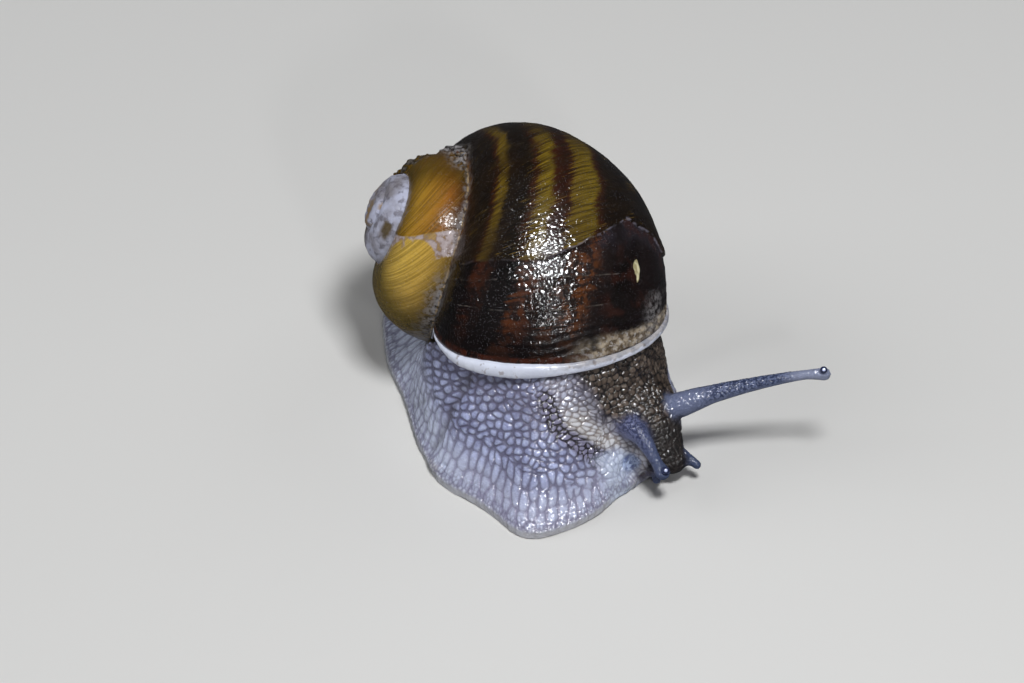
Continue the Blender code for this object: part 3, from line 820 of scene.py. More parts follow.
print("every material starts from a", MAIN_SHADER)

# %% [markdown]
# Water on skin or shell shows in three ways.  Fine lumps under it break a reflection into sparks,
# it stands here and there as drops, and the surface is glossier where the film is thicker.  The
# group gives a height for the lumps, another for the drops, which belongs in the clear coat, and
# a roughness that wanders between dry and wet in slow patches.

# %% Group: wet grain


def build_wet_grain():
    """Fine lumps that break a reflection into sparks, and a film that is wetter in some places."""
    group, start, end = new_group(
        "Wet grain",
        (("Position", "Vector", None), ("Lumps per mm", "Float", 3.0), ("Height", "Float", 1.0),
         ("Dry", "Float", 0.35), ("Wet", "Float", 0.12), ("Patch per mm", "Float", 0.25)),
        (("Height", "Float"), ("Roughness", "Float"), ("Drops", "Float")))
    w = Wiring(group)
    at = w.cells(start.outputs["Position"], start.outputs["Lumps per mm"])
    coarse = w.noise(1.0, 2.0, at, 0.55)
    small = w.add("TexVoronoi", "Distance", {"feature": "SMOOTH_F1"}, Vector=at, Scale=1.7)
    lumps = w.plus(w.times(coarse, 0.7), w.times(small, -0.3))
    w.links.new(w.times(lumps, start.outputs["Height"]), end.inputs["Height"])
    near = w.add("TexVoronoi", "Distance", {"feature": "SMOOTH_F1"}, Vector=at, Scale=1.0)
    round_top = w.minus(1.0, w.times(near, near))
    bead = w.nodes.new("ShaderNodeTexVoronoi")
    w.set(bead.inputs["Vector"], at)
    bead.inputs["Scale"].default_value = 1.1
    chosen = w.math("LESS_THAN", w.add("SeparateColor", 0, Color=bead.outputs["Color"]), 0.55)
    beads = w.times(w.between(bead.outputs["Distance"], 0.34, 0.0), chosen)
    drops = w.plus(w.times(round_top, 0.65), w.times(w.noise(2.2, 2.0, at, 0.6), 0.08))
    drops = w.plus(drops, w.times(beads, 0.25))
    w.links.new(drops, end.inputs["Drops"])
    patch_at = w.cells(start.outputs["Position"], start.outputs["Patch per mm"])
    patch = w.between(w.noise(1.0, 3.0, patch_at), 0.35, 0.65)
    dry = start.outputs["Dry"]
    rough = w.math("MULTIPLY_ADD", patch, w.minus(start.outputs["Wet"], dry), dry)
    w.links.new(rough, end.inputs["Roughness"])
    return group


WET_GRAIN = build_wet_grain()
print("group:", WET_GRAIN.name, "with", len(WET_GRAIN.nodes), "nodes")

# %% [markdown]
# Sand and dried slime lie on the shell as scattered specks.  A cell pattern gives every cell a
# middle and a colour of its own: near the middle there is a speck, and only some cells are
# chosen.

# %% Group: grit


def build_grit():
    """A mask of small scattered specks: sand, dried slime and dust."""
    group, start, end = new_group(
        "Grit", (("Position", "Vector", None), ("Specks per mm", "Float", 2.0),
                 ("Size", "Float", 0.2), ("Cover", "Float", 0.3)), (("Mask", "Float"),))
    w = Wiring(group)
    at = w.cells(start.outputs["Position"], start.outputs["Specks per mm"])
    node = w.nodes.new("ShaderNodeTexVoronoi")
    w.set(node.inputs["Vector"], at)
    speck = w.math("LESS_THAN", node.outputs["Distance"], start.outputs["Size"])
    chosen = w.add("SeparateColor", 0, Color=node.outputs["Color"])
    few = w.math("LESS_THAN", chosen, start.outputs["Cover"])
    w.links.new(w.times(speck, few), end.inputs["Mask"])
    return group


GRIT = build_grit()


def use_group(w, group, **inputs):
    """Places a group in a material, each input given by name."""
    node = w.nodes.new("ShaderNodeGroup")
    node.node_tree = group
    for key, value in inputs.items():
        w.set(node.inputs[key.replace("_", " ")], value)
    return node


print("group:", GRIT.name, "with", len(GRIT.nodes), "nodes")

# %% [markdown]
# ## The shell's colours
#
# Garden snail shells are yellow-brown underneath, with up to five dark bands that run along the
# coil and fine streaks across it that follow the growing edge.  The bands keep their angle round
# the tube, so one ramp along that angle draws all of them, and stretched noise across the growth
# lines frays them into streaks.  Masks from the growth marks then change the scheme: darker and
# blotched after the scar, amber before it, and grey where the old whorls have lost their skin.

# %% Noises and places on the shell


def angle(phi):
    """A place on the band ramp, which runs from 90 degrees at the tip side down to -90."""
    return (90 - phi) / 180


material, shader, w = new_material("shell_bands")
grown, phi = w.value("grown"), w.value("phi")
line, across = w.value("line_mm"), w.value("across_mm")
since_scar = w.value("since_scar")
place = w.add("TexCoord", "Object")
streak_at = w.add("CombineXYZ", X=w.times(line, 2.6), Y=w.times(across, 0.16))
streak = w.noise(1.0, 3.0, streak_at, 0.6)
thread_at = w.add("CombineXYZ", X=w.times(line, 7.0), Y=w.times(across, 0.35))
thread = w.noise(1.0, 2.0, thread_at, 0.6)
blot = w.noise(0.42 * PER_MM, 3.0, place)
fine = w.noise(1.5 * PER_MM, 3.0, place)
fray = w.swing(streak, 14.0)
fray = w.plus(fray, w.swing(blot, 10.0))
at = w.math("DIVIDE", w.minus(90.0, w.plus(phi, fray)), 180.0)
ink = w.between(streak, 0.42, 0.60)
threads = w.between(thread, 0.48, 0.66)
print("nodes so far:", len(w.nodes))

# %% [markdown]
# Before the scar the shell is the brightest: dark bands with olive and yellow between them.
# Where a bright stretch fades, the same bands are mixed with a duller ramp, and streaks run over
# both.

# %% Colours between the first stop and the scar
dark, darker = srgb(19, 12, 8), srgb(12, 8, 6)
rust, olive, yellow = srgb(58, 24, 8), srgb(108, 86, 20), srgb(122, 100, 22)
amber = srgb(140, 92, 24)
old = w.ramp(at, (
    (angle(90), amber), (angle(87), amber), (angle(84.5), rust), (angle(81), dark),
    (angle(62), darker), (angle(58), rust), (angle(55.5), olive), (angle(51.5), olive),
    (angle(48.5), dark), (angle(36), darker), (angle(32), rust), (angle(28.5), olive),
    (angle(22), yellow), (angle(18.5), rust), (angle(12.5), srgb(40, 16, 9)), (angle(9.5), rust),
    (angle(6), olive), (angle(-5), yellow), (angle(-8), rust), (angle(-12), dark),
    (angle(-45), darker), (angle(-60), srgb(48, 26, 12)), (angle(-80), srgb(70, 44, 22))))
base = w.ramp(at, ((angle(90), amber), (angle(85), rust), (angle(80), darker),
                   (angle(52), srgb(40, 24, 10)), (angle(40), darker),
                   (angle(24), srgb(46, 28, 10)), (angle(14), srgb(34, 14, 8)),
                   (angle(0), srgb(52, 32, 12)), (angle(-20), darker),
                   (angle(-80), srgb(60, 36, 18))))
old = w.mix(w.value("bright"), base, old)
old = w.lay(old, srgb(30, 20, 9), ink, 0.62)
old = w.lay(old, srgb(40, 28, 9), threads, 0.5)
worn_streak = w.times(w.between(thread, 0.42, 0.30), w.between(blot, 0.5, 0.62))
old = w.lay(old, srgb(150, 120, 50), worn_streak, 0.5)
print("nodes so far:", len(w.nodes))

# %% [markdown]
# Past the scar the snail grew in a hurry: the bands run together into dark blotches, a bluish grey
# sheen of the wet film, painted into the colour, and a few ember-brown spots show below them, and
# everything darkens towards the lip.

# %% Colours past the scar
new = w.ramp(at, (
    (angle(89), darker), (angle(60), darker), (angle(55), srgb(60, 28, 12)),
    (angle(47), srgb(48, 24, 12)), (angle(43), darker), (angle(31), darker),
    (angle(27), srgb(84, 42, 14)), (angle(15), srgb(64, 31, 14)), (angle(11), srgb(28, 16, 13)),
    (angle(5), srgb(68, 35, 14)), (angle(-9), srgb(92, 49, 16)), (angle(-15), srgb(30, 19, 16)),
    (angle(-26), darker), (angle(-40), srgb(26, 17, 16)), (angle(-60), srgb(22, 15, 15))))
patch = w.plus(w.times(blot, 0.5), w.times(fine, 0.5))
patch = w.between(w.plus(patch, w.swing(streak, 0.25)), 0.43, 0.55)
new = w.lay(new, srgb(20, 13, 12), patch, 0.9)
new = w.lay(new, darker, ink, 0.35)
by_lip = w.between(grown, -0.055, -0.02)
new = w.lay(new, srgb(16, 11, 11), by_lip, 0.75)
# painted sheen: a bluish grey where the wet film on the newer shell reflects
painted_sheen = w.times(w.between(phi, -4.0, -14.0), w.between(since_scar, 0.045, 0.0))
new = w.mix(w.times(painted_sheen, w.between(blot, 0.36, 0.6, 0.1, 0.6)), new, srgb(52, 48, 56))
ember = w.times(w.between(phi, -14.0, -24.0), w.between(blot, 0.5, 0.62, 0.0, 0.6))
new = w.mix(ember, new, srgb(54, 28, 20))
print("nodes so far:", len(w.nodes))

# %% [markdown]
# Two short pauses left faint pale lines.  The growing edge itself is a red-brown rim, and from
# the ground side sand has dried onto it.

# %% Pale lines, the growing edge and sand
for pause, half, strength in (("second", 0.0013, 0.2), ("third", 0.0012, 0.16)):
    off = w.math("ABSOLUTE", w.value(pause))
    line_mask = w.times(w.between(off, half, half * 0.3), w.between(fine, 0.42, 0.58))
    line_mask = w.times(line_mask, w.between(phi, -26.0, -20.0))
    line_mask = w.times(line_mask, w.between(blot, 0.40, 0.56, 0.15, 1.0))
    new = w.mix(w.times(line_mask, strength), new, srgb(150, 142, 132))
rim = w.times(w.between(grown, -0.0115, -0.0085), w.between(fine, 0.36, 0.56))
new = w.lay(new, w.mix(blot, srgb(34, 18, 14), srgb(88, 42, 26)), rim, 0.8)
ragged = w.plus(w.times(fine, 0.014), w.times(blot, 0.016))
sand = w.times(w.between(phi, -6.0, -26.0), w.between(w.plus(grown, ragged), -0.016, -0.002))
sand_colour = w.mix(w.between(fine, 0.36, 0.60), srgb(168, 154, 134), srgb(92, 78, 62))
pale_grain = w.between(w.noise(2.6 * PER_MM, 2.0, place), 0.54, 0.66, 0.0, 0.6)
sand_colour = w.mix(pale_grain, sand_colour, srgb(182, 178, 174))
new = w.mix(w.times(sand, w.between(blot, 0.30, 0.46)), new, sand_colour)
print("nodes so far:", len(w.nodes))

# %% [markdown]
# The older whorls are sun-bleached to amber on the side and to straw below the first stop, where
# a bare lilac strip shows that the brown skin has flaked away.

# %% Colours of the older whorls
middle = w.ramp(at, ((angle(90), srgb(96, 80, 24)), (angle(80), srgb(108, 84, 18)),
                     (angle(60), srgb(158, 120, 38)), (angle(40), srgb(160, 114, 40)),
                     (angle(22), srgb(138, 84, 26)), (angle(10), srgb(70, 38, 14)),
                     (angle(-5), srgb(36, 22, 13))))
dim = w.between(grown, -1.27, -1.36)
middle = w.lay(middle, srgb(62, 50, 8), dim, 0.8)
middle = w.lay(middle, srgb(84, 56, 10), ink, 0.6)
middle = w.lay(middle, srgb(192, 150, 70), w.between(thread, 0.42, 0.3), 0.35)
lower = w.ramp(at, ((angle(90), srgb(150, 134, 104)), (angle(76), srgb(170, 140, 62)),
                    (angle(50), srgb(206, 170, 76)), (angle(25), srgb(192, 154, 68)),
                    (angle(5), srgb(110, 84, 34)), (angle(-10), srgb(70, 56, 34))))
green = w.between(grown, -1.09, -1.0)
lower = w.lay(lower, srgb(74, 66, 24), green, 0.85)
lower = w.lay(lower, srgb(112, 88, 28), ink, 0.55)
lower = w.lay(lower, srgb(206, 178, 104), w.between(thread, 0.42, 0.3), 0.4)
step = w.value("since_step")
ragged = w.plus(step, w.swing(blot, -0.16))
bare = w.times(w.between(ragged, 0.03, 0.015), w.between(step, -0.001, 0.002))
bare = w.times(bare, w.between(fine, 0.36, 0.50, 0.45, 0.95))
bare_colour = w.mix(w.between(fine, 0.4, 0.6), srgb(124, 104, 98), srgb(172, 158, 158))
lower = w.mix(bare, lower, bare_colour)
middle = w.mix(w.between(step, -0.002, 0.002), middle, lower)
print("nodes so far:", len(w.nodes))

# %% [markdown]
# Now the ages are joined.  A broken pale line along the scar is a painted highlight, the first
# whorls are worn to a grey chalk with one scrap of brown skin left on it, and dust lies on top of
# all.

# %% Join the ages, wear them and dust them
before = w.between(grown, -0.93, -0.80)
body = w.mix(w.between(since_scar, -0.001, 0.001), old, new)
colour = w.mix(before, middle, body)
# painted highlight: a broken pale line along the edge of the scar
off_scar = w.math("ABSOLUTE", w.plus(since_scar, 0.0012))
scar_edge_highlight = w.times(w.between(off_scar, 0.0022, 0.0004), w.between(fine, 0.40, 0.55))
scar_edge_highlight = w.times(scar_edge_highlight, w.between(phi, 20.0, 0.0, 0.1, 0.5))
scar_edge_highlight = w.times(scar_edge_highlight, w.between(blot, 0.38, 0.55, 0.3, 1.0))
scar_edge_highlight = w.times(scar_edge_highlight, before)
colour = w.mix(scar_edge_highlight, colour, srgb(130, 126, 140))
chalk = w.mix(w.between(blot, 0.34, 0.66), srgb(178, 180, 199), srgb(128, 124, 129))
pits = w.between(w.noise(1.0 * PER_MM, 4.0, place, 0.65), 0.50, 0.62, 0.0, 0.75)
chalk = w.mix(pits, chalk, srgb(100, 96, 104))
tan = w.between(w.noise(0.52 * PER_MM, 3.0, place), 0.47, 0.60, 0.0, 0.8)
chalk = w.mix(w.times(tan, w.between(grown, -2.3, -2.9)), chalk, srgb(138, 110, 62))
frayed = w.swing(blot, 0.12)
scrap_round = w.math("ABSOLUTE", w.plus(w.plus(grown, frayed), 2.13))
scrap_up = w.plus(phi, w.times(frayed, 90.0))
scrap_up = w.math("ABSOLUTE", w.minus(scrap_up, 42.0))
scrap = w.times(w.between(scrap_round, 0.05, 0.02), w.between(scrap_up, 16.0, 6.0))
chalk = w.lay(chalk, srgb(78, 62, 22), scrap, 0.9)
colour = w.mix(w.value("worn"), colour, chalk)
dusty = w.times(w.value("dust"), w.between(fine, 0.34, 0.52))
soil = w.between(w.noise(2.4 * PER_MM, 3.0, place, 0.65), 0.42, 0.62)
colour = w.mix(dusty, colour, w.mix(soil, srgb(136, 132, 132), srgb(40, 36, 35)))
print("nodes so far:", len(w.nodes))

# %% [markdown]
# The small things come last, so that nothing hides them: a pale thread in the seam, crumbs of
# soil, the chip, and grit from the shared group.

# %% Seam, crumbs, chip and grit
seam_line = w.times(w.between(w.value("seam_mm"), 0.20, 0.06), w.between(fine, 0.46, 0.56))
seam_line = w.times(seam_line, w.between(grown, -1.7, -1.5))
colour = w.lay(colour, srgb(176, 150, 110), seam_line, 0.7)
crumb = w.times(w.value("crumbs"), w.between(fine, 0.38, 0.52))
crumb_colour = w.mix(w.between(fine, 0.5, 0.62), srgb(30, 27, 25), srgb(84, 80, 76))
colour = w.lay(colour, crumb_colour, crumb, 0.85)
chip_shape = w.plus(w.value("chip"), w.swing(fine, 0.25))
lime = w.mix(w.between(fine, 0.42, 0.56), srgb(214, 206, 166), srgb(160, 150, 112))
colour = w.mix(w.between(chip_shape, 0.52, 0.60), colour, lime)
grit = use_group(w, GRIT, Position=place, Specks_per_mm=2.4, Size=0.15, Cover=0.34)
colour = w.mix(w.times(grit.outputs["Mask"], 0.85), colour, srgb(182, 181, 192))
w.set(shader.inputs["Base Color"], colour)
print("nodes so far:", len(w.nodes))

# %% [markdown]
# Wet shell is a clear coat over a duller one.  The drops go into the coat's own normal, so that
# only the mirror breaks into sparks and the colour under it stays quiet.  Wear, dust and crumbs
# dry it out.

# %% Gloss of the shell
COAT_RISE = 0.12 * MM
grain = use_group(w, WET_GRAIN, Position=place, Lumps_per_mm=2.6, Height=1.0, Dry=0.34,
                  Wet=0.2, Patch_per_mm=0.22)
dull = w.math("MAXIMUM", w.math("MAXIMUM", w.value("worn"), w.value("dust")), crumb)
rough = w.math("MULTIPLY_ADD", dull, 0.4, grain.outputs["Roughness"])
w.set(shader.inputs["Roughness"], rough)
lines = w.plus(w.times(streak, 0.6), w.times(thread, 0.4))
height = w.plus(w.times(lines, 0.5), grain.outputs["Height"])
w.set(shader.inputs["Normal"], w.bump(height, 1.0, 0.08 * MM))
spark = w.math("MULTIPLY_ADD", w.value("gloss"), COAT_RISE, COAT_RISE)
w.set(shader.inputs["Coat Normal"], w.bump(grain.outputs["Drops"], 1.0, spark))
wet = w.math("MULTIPLY_ADD", w.value("gloss"), 0.75, 0.25)
damp = w.between(dull, 0.1, 0.9, 1.0, 0.2)
w.set(shader.inputs["Coat Weight"], w.times(wet, damp))
shader.inputs["Coat Roughness"].default_value = 0.11
shader.inputs["Coat IOR"].default_value = 1.8
shader.inputs["Specular IOR Level"].default_value = 0.3
shell_mesh.materials.append(material)
print("shell material nodes:", len(material.node_tree.nodes))

# %% [markdown]
# ## The pale rim
#
# When a garden snail is fully grown it rolls the edge of its shell outward into a thick white
# lip.  Bevelling the shell's own edge would make it as dark as the shell, so the lip is a piece
# of its own: a rounded band swept along the edge, thick in the middle, where it also laps a
# little over the shell, and thin at the end that meets the coil.

# %% Path and thickness of the lip
LIP_SIDES = 20
LIP_OUT, LIP_HALF_WIDTH, LIP_HALF_HEIGHT = -0.12, 0.60, 0.58
LIP_STOPS_SHORT, LIP_THIN_END = 34, 0.42
LIP_OVER = 0.45                                # how far it laps over the shell, where it is widest
LIP_SQUARE = 0.8                               # 1 is a round section, less is squarer

edge = shell_points(TURN_AT[LAST], PHI[LAST])[:ROWS + 1 - LIP_STOPS_SHORT]
ahead = unit(np.gradient(edge, axis=0))
outward = unit(np.cross(ahead, LIP_NORMAL))
outward *= np.sign(((edge - edge.mean(axis=0)) * outward).sum(axis=1))[:, None]
along = (np.arange(len(edge)) + 0.5) / len(edge)
taper = LIP_THIN_END + (1 - LIP_THIN_END) * np.sin(math.pi * along) ** 0.7
over = LIP_OVER * smooth_between(0.25, 0.5, along) * smooth_between(0.85, 0.6, along)
thin_start = np.interp(along, (0, 0.15, 0.32), (0.4, 0.5, 1))
half_height = LIP_HALF_HEIGHT * taper * thin_start + over / 2
centre = edge + outward * (LIP_OUT + 0.25 * over)[:, None]
centre -= LIP_NORMAL * (half_height + 0.06 - over)[:, None]
print("lip:", len(edge), "stations, thickest", round(2 * float(half_height.max()), 2), "mm")

# %% [markdown]
# At each station the section is a ring of points, squarer than a circle.  Neighbouring rings are
# joined with four-sided faces and the two ends closed, and then a little noise is pushed out of
# the surface, because the lip was laid down in thin wrinkled layers.

# %% Lip
turns = 2 * math.pi * np.arange(LIP_SIDES) / LIP_SIDES
wide = np.sign(np.cos(turns)) * np.abs(np.cos(turns)) ** LIP_SQUARE * LIP_HALF_WIDTH
high = np.sign(np.sin(turns)) * np.abs(np.sin(turns)) ** LIP_SQUARE
thin = (taper * thin_start)[:, None, None]
rings = (centre[:, None] + outward[:, None] * wide[None, :, None] * thin
         + LIP_NORMAL * high[None, :, None] * half_height[:, None, None])
count = len(edge)
lip_xyz = np.concatenate([rings.reshape(-1, 3), [rings[0].mean(axis=0), rings[-1].mean(axis=0)]])
index = np.arange(count * LIP_SIDES).reshape(count, LIP_SIDES)
index = np.concatenate([index, index[:, :1]], axis=1)
ends = [(a, b, count * LIP_SIDES) for a, b in zip(index[0], index[0][1:])]
ends += [(b, a, count * LIP_SIDES + 1) for a, b in zip(index[-1], index[-1][1:])]

lip_mesh = solid_mesh("lip_surface", lip_xyz, [tuple(q) for q in quads_of(index)] + ends)
along_at = np.append(np.repeat(along, LIP_SIDES), (0, 1))
wrinkles = 0.03 * soft_noise(coil_places(along_at * 90, lip_xyz[:, 2]), 1.0, 21)
wrinkles = wrinkles + 0.015 * soft_noise(lip_xyz, 0.4, 22)
set_points(lip_mesh, (lip_xyz + normals_of(lip_mesh) * wrinkles[:, None]) * MM)
paint(lip_mesh, along=along_at, high=np.append(np.tile(high, count), (0, 0)))
place_piece("lip_dressed", lip_mesh, "lip", "shell_lip")

# %% [markdown]
# The lip is bare lime, near white with grey clouds.  Soil clings to its upper side on the stretch
# nearest the ground, so the dirt is masked by the place along the lip and the height in the
# section.

# %% Lip material


def build_lip_material():
    material, shader, w = new_material("lip_pearl")
    place = w.add("TexCoord", "Object")
    cloud = w.between(w.noise(0.35 * PER_MM, 3.0, place), 0.35, 0.65)
    colour = w.mix(cloud, srgb(208, 212, 228), srgb(224, 228, 242))
    flecks = w.between(w.noise(1.4 * PER_MM, 2.0, place), 0.60, 0.72)
    colour = w.mix(flecks, colour, srgb(176, 172, 180))
    grains = w.noise(1.3 * PER_MM, 3.0, place)
    dirt = w.times(w.between(w.value("along"), 0.66, 0.80), w.between(w.value("along"), 1.0, 0.93))
    from_dirt = w.plus(w.value("high"), w.swing(grains, 1.6))
    dirt = w.times(dirt, w.between(from_dirt, -0.1, 0.5))
    soil = w.mix(w.between(grains, 0.4, 0.62), srgb(150, 136, 116), srgb(72, 60, 48))
    colour = w.lay(colour, soil, dirt, 0.6)
    w.set(shader.inputs["Base Color"], colour)
    grain = use_group(w, WET_GRAIN, Position=place, Lumps_per_mm=3.5, Height=1.0, Dry=0.42,
                      Wet=0.2, Patch_per_mm=0.4)
    w.set(shader.inputs["Roughness"], grain.outputs["Roughness"])
    w.set(shader.inputs["Normal"], w.bump(grain.outputs["Height"], 0.8, 0.03 * MM))
    shader.inputs["Coat Weight"].default_value = 0.4
    shader.inputs["Coat Roughness"].default_value = 0.15
    return material


lip_mesh.materials.append(build_lip_material())
print("lip material nodes:", len(lip_mesh.materials[0].node_tree.nodes))

# %% [markdown]
# ## One skin over the parted body
#
# The solids of the body are parted by thin cuts, so that each has a name.  A living snail shows
# no such joints.  Here copies of all the parts are puffed out a little until they meet, melted
# into one mesh by a voxel remesh, smoothed, and drawn in again by the same amount.  Smoothing
# with a push back after each pull keeps the thin feelers from shrinking.

# %% Melt the flesh together
FLESH = ["foot", "tail", "mantle", "neck", "head", "feeler_upper_left_base",
         "feeler_upper_left_stalk", "feeler_upper_right_base", "feeler_upper_right_stalk",
         "feeler_lower_left", "feeler_lower_right"]
PUFF = 0.2                                     # wide enough to close the cuts, in mm
SKIN_VOXEL = 0.19
SMOOTH_ROUNDS, PULL, PUSH = 60, 0.5, 0.53      # each push undoes a little more than its pull


def puffed_flesh():
    bm = bmesh.new()
    for name in FLESH:
        part = bmesh.new()
        part.from_mesh(frame["nodes"][name].data)
        bmesh.ops.scale(part, vec=(1 / MM, 1 / MM, 1 / MM), verts=part.verts)
        bmesh.ops.remove_doubles(part, verts=part.verts, dist=0.001)
        part.normal_update()
        for vert in part.verts:
            vert.co += vert.normal * PUFF
        lump = bpy.data.meshes.new("lump")
        part.to_mesh(lump)
        part.free()
        bm.from_mesh(lump)
        bpy.data.meshes.remove(lump)
    mesh = bpy.data.meshes.new("puffed")
    bm.to_mesh(mesh)
    bm.free()
    return mesh


print("parts of the body:", len(FLESH))

# %% [markdown]
# Modifiers are run on a work object that is thrown away at once.  Smoothing moves each point
# towards the mean of the points that it is joined to, and numpy does that for all points in one
# go.

# %% Helpers for the skin


def with_modifiers(mesh, *modifiers):
    """The mesh after the modifiers, each given as its kind and its settings."""
    obj = bpy.data.objects.new("work", mesh)
    bpy.context.scene.collection.objects.link(obj)
    for kind, settings in modifiers:
        modifier = obj.modifiers.new(kind.lower(), kind)
        for key, value in settings.items():
            setattr(modifier, key, value)
    graph = bpy.context.evaluated_depsgraph_get()
    made = bpy.data.meshes.new_from_object(obj.evaluated_get(graph), depsgraph=graph)
    bpy.data.objects.remove(obj)
    return made


def edges_of(mesh):
    ends = np.empty(len(mesh.edges) * 2, np.int32)
    mesh.edges.foreach_get("vertices", ends)
    return ends.reshape(-1, 2)


class Neighbours:
    """Averages over the points joined to each point."""

    def __init__(self, mesh):
        ends = edges_of(mesh)
        self.a = np.concatenate([ends[:, 0], ends[:, 1]])
        self.b = np.concatenate([ends[:, 1], ends[:, 0]])
        self.size = len(mesh.vertices)
        self.count = np.maximum(np.bincount(self.a, minlength=self.size), 1)

    def mean(self, values):
        if values.ndim == 1:
            return np.bincount(self.a, values[self.b], self.size) / self.count
        return np.stack([self.mean(values[:, k]) for k in range(values.shape[1])], axis=1)

    def smooth(self, values, rounds, pull=0.5, push=0.0):
        for _ in range(rounds):
            values = values + pull * (self.mean(values) - values)
            if push:
                values = values - push * (self.mean(values) - values)
        return values


print("smoothing runs", SMOOTH_ROUNDS, "rounds")

# %% Melt, smooth and draw in
remesh = {"mode": "VOXEL", "voxel_size": SKIN_VOXEL}
skin_mesh = with_modifiers(puffed_flesh(), ("REMESH", remesh))
near = Neighbours(skin_mesh)
points = near.smooth(points_of(skin_mesh), SMOOTH_ROUNDS, PULL, PUSH)
set_points(skin_mesh, points)
points = points - normals_of(skin_mesh) * PUFF
points[:, 2] = np.maximum(points[:, 2], 0.0)
set_points(skin_mesh, points)
print("melted skin:", len(points), "points")

# %% [markdown]
# The melted skin has forgotten which part it came from, and the colours and pebbles need that.
# Each point takes the name of the nearest corner of a solid, and smoothing turns the names into
# soft masks.  A mesh painted before it is subdivided keeps its masks on the finer points.

# %% Which part each point came from
label_tree = kdtree.KDTree(sum(len(frame["nodes"][n].data.vertices) for n in FLESH))
labels = []
for number, name in enumerate(FLESH):
    for vert in frame["nodes"][name].data.vertices:
        label_tree.insert(vert.co / MM, len(labels))
        labels.append(number)
label_tree.balance()
labels = np.array(labels)
part_of = labels[[label_tree.find(p)[1] for p in points]]


def soft_mask(rounds, *names):
    picked = np.isin(part_of, [FLESH.index(n) for n in names]).astype(float)
    return near.smooth(picked, rounds)


masks = {"feeler": soft_mask(10, *[n for n in FLESH if "feeler" in n]),
         "left_feeler": soft_mask(10, *[n for n in FLESH if "feeler_upper_left" in n]),
         "head": soft_mask(40, "head", "neck", *[n for n in FLESH if "feeler" in n])}
paint(skin_mesh, **masks)
skin_mesh = with_modifiers(skin_mesh, ("SUBSURF", {"levels": 1, "render_levels": 1}))
points = points_of(skin_mesh)


def painted(name):
    values = np.empty(len(skin_mesh.vertices), np.float32)
    skin_mesh.attributes[name].data.foreach_get("value", values)
    return values.astype(float)


feeler_share, head_share = painted("feeler"), painted("head")
print("fine skin:", len(points), "points")

# %% [markdown]
# ## Coordinates on the foot
#
# The skin's pebbles follow the animal: near the edge of the foot they run in files square to the
# edge, and higher up they are rounder and smaller.  So every point gets two numbers, how far
# round the edge it lies and how far in from it.  They are measured from a spine along the foot,
# so that the lines fan out at both ends and run side by side along the tail.

# %% Places round the spine
SPINE_START = np.array((0.5, -2.5))
SPINE_END = np.array((-6.2, 18.5))

spine = SPINE_END - SPINE_START
spine_length = np.linalg.norm(spine)
spine_way = spine / spine_length


def round_spine(xy):
    """A place round the spine, from 0 to 1, and the distance from it."""
    along_spine = (xy - SPINE_START) @ spine_way
    side = (xy - SPINE_START) @ np.array((-spine_way[1], spine_way[0]))
    held = np.clip(along_spine, 0, spine_length)
    away = np.hypot(along_spine - held, side)
    turn = np.arctan2(side, along_spine - held)       # 0 past the end, pi past the start
    reach = 6.0                                       # millimetres of place for each radian
    left = side >= 0
    here = np.abs(turn) * reach + (spine_length - held)
    here = np.where(left, here, -here)
    whole = 2 * (math.pi * reach + spine_length)
    return (here / whole) % 1.0, away


place_round, away = round_spine(points[:, :2])
print("spine of the foot:", round(float(spine_length), 1), "mm")

# %% [markdown]
# The edge is found from the skin itself: in each of many narrow sectors, the points furthest from
# the spine among those that lie low.  Its true length, walked from sector to sector, is what
# makes the pebbles equally wide all the way round.

# %% The edge of the foot
EDGE_STATIONS = 720
LOW_SKIN = 1.6                                 # the edge is sought below this height, in mm
RIM_HEIGHT = 0.45                              # height of the widest line of the edge
EDGE_BAND = 0.4                                # points this near the furthest one count as edge
LEAST_REACH = 5                                # a sector that reaches less far holds no edge
stations = np.arange(EDGE_STATIONS)
low_skin = points[:, 2] < LOW_SKIN
station = (place_round * EDGE_STATIONS).astype(int) % EDGE_STATIONS
reach_at = np.zeros(EDGE_STATIONS)
edge_ok = low_skin & (head_share < 0.6)
np.maximum.at(reach_at, station[edge_ok], away[edge_ok])
known = np.nonzero(reach_at > LEAST_REACH)[0]
reach_at = np.interp(stations, known, reach_at[known], period=EDGE_STATIONS)
for _ in range(6):
    reach_at = (np.roll(reach_at, 1) + reach_at + np.roll(reach_at, -1)) / 3
edge_reach = np.interp(place_round * EDGE_STATIONS, stations + 0.5, reach_at,
                       period=EDGE_STATIONS)
outermost = (away[edge_ok] > edge_reach[edge_ok] - EDGE_BAND) * 1.0
counts = np.bincount(station[edge_ok], outermost, EDGE_STATIONS)
full = np.nonzero(counts)[0]
where_edge = np.zeros((EDGE_STATIONS, 2))
for axis in (0, 1):
    sums = np.bincount(station[edge_ok], points[edge_ok, axis] * outermost, EDGE_STATIONS)
    where_edge[:, axis] = np.interp(stations, full, sums[full] / counts[full],
                                    period=EDGE_STATIONS)
for _ in range(8):
    where_edge = (np.roll(where_edge, 1, axis=0) + where_edge + np.roll(where_edge, -1, axis=0)) / 3
step_length = np.linalg.norm(np.roll(where_edge, -1, axis=0) - where_edge, axis=1)
round_edge = np.concatenate([[0], np.cumsum(step_length)])
EDGE_LENGTH = round_edge[-1]
edge_s = np.interp(place_round * EDGE_STATIONS, np.arange(EDGE_STATIONS + 1), round_edge)
inward = np.maximum(edge_reach - away, 0)
edge_d = np.hypot(inward, np.maximum(points[:, 2] - RIM_HEIGHT, 0))
print("edge of the foot:", round(float(EDGE_LENGTH), 1), "mm round")

# %% [markdown]
# ## Folds and lips
#
# Where the neck leaves the foot the skin sinks into a dark furrow, the foot carries soft folds,
# and beside the mouth it swells into pale lobes.  These are pushed into the smooth skin first,
# because the pebbles ride over them.  The furrow also divides the two kinds of pebbles: a point's
# distance ahead of it is worked out on one flank, and the other flank is folded onto that one.

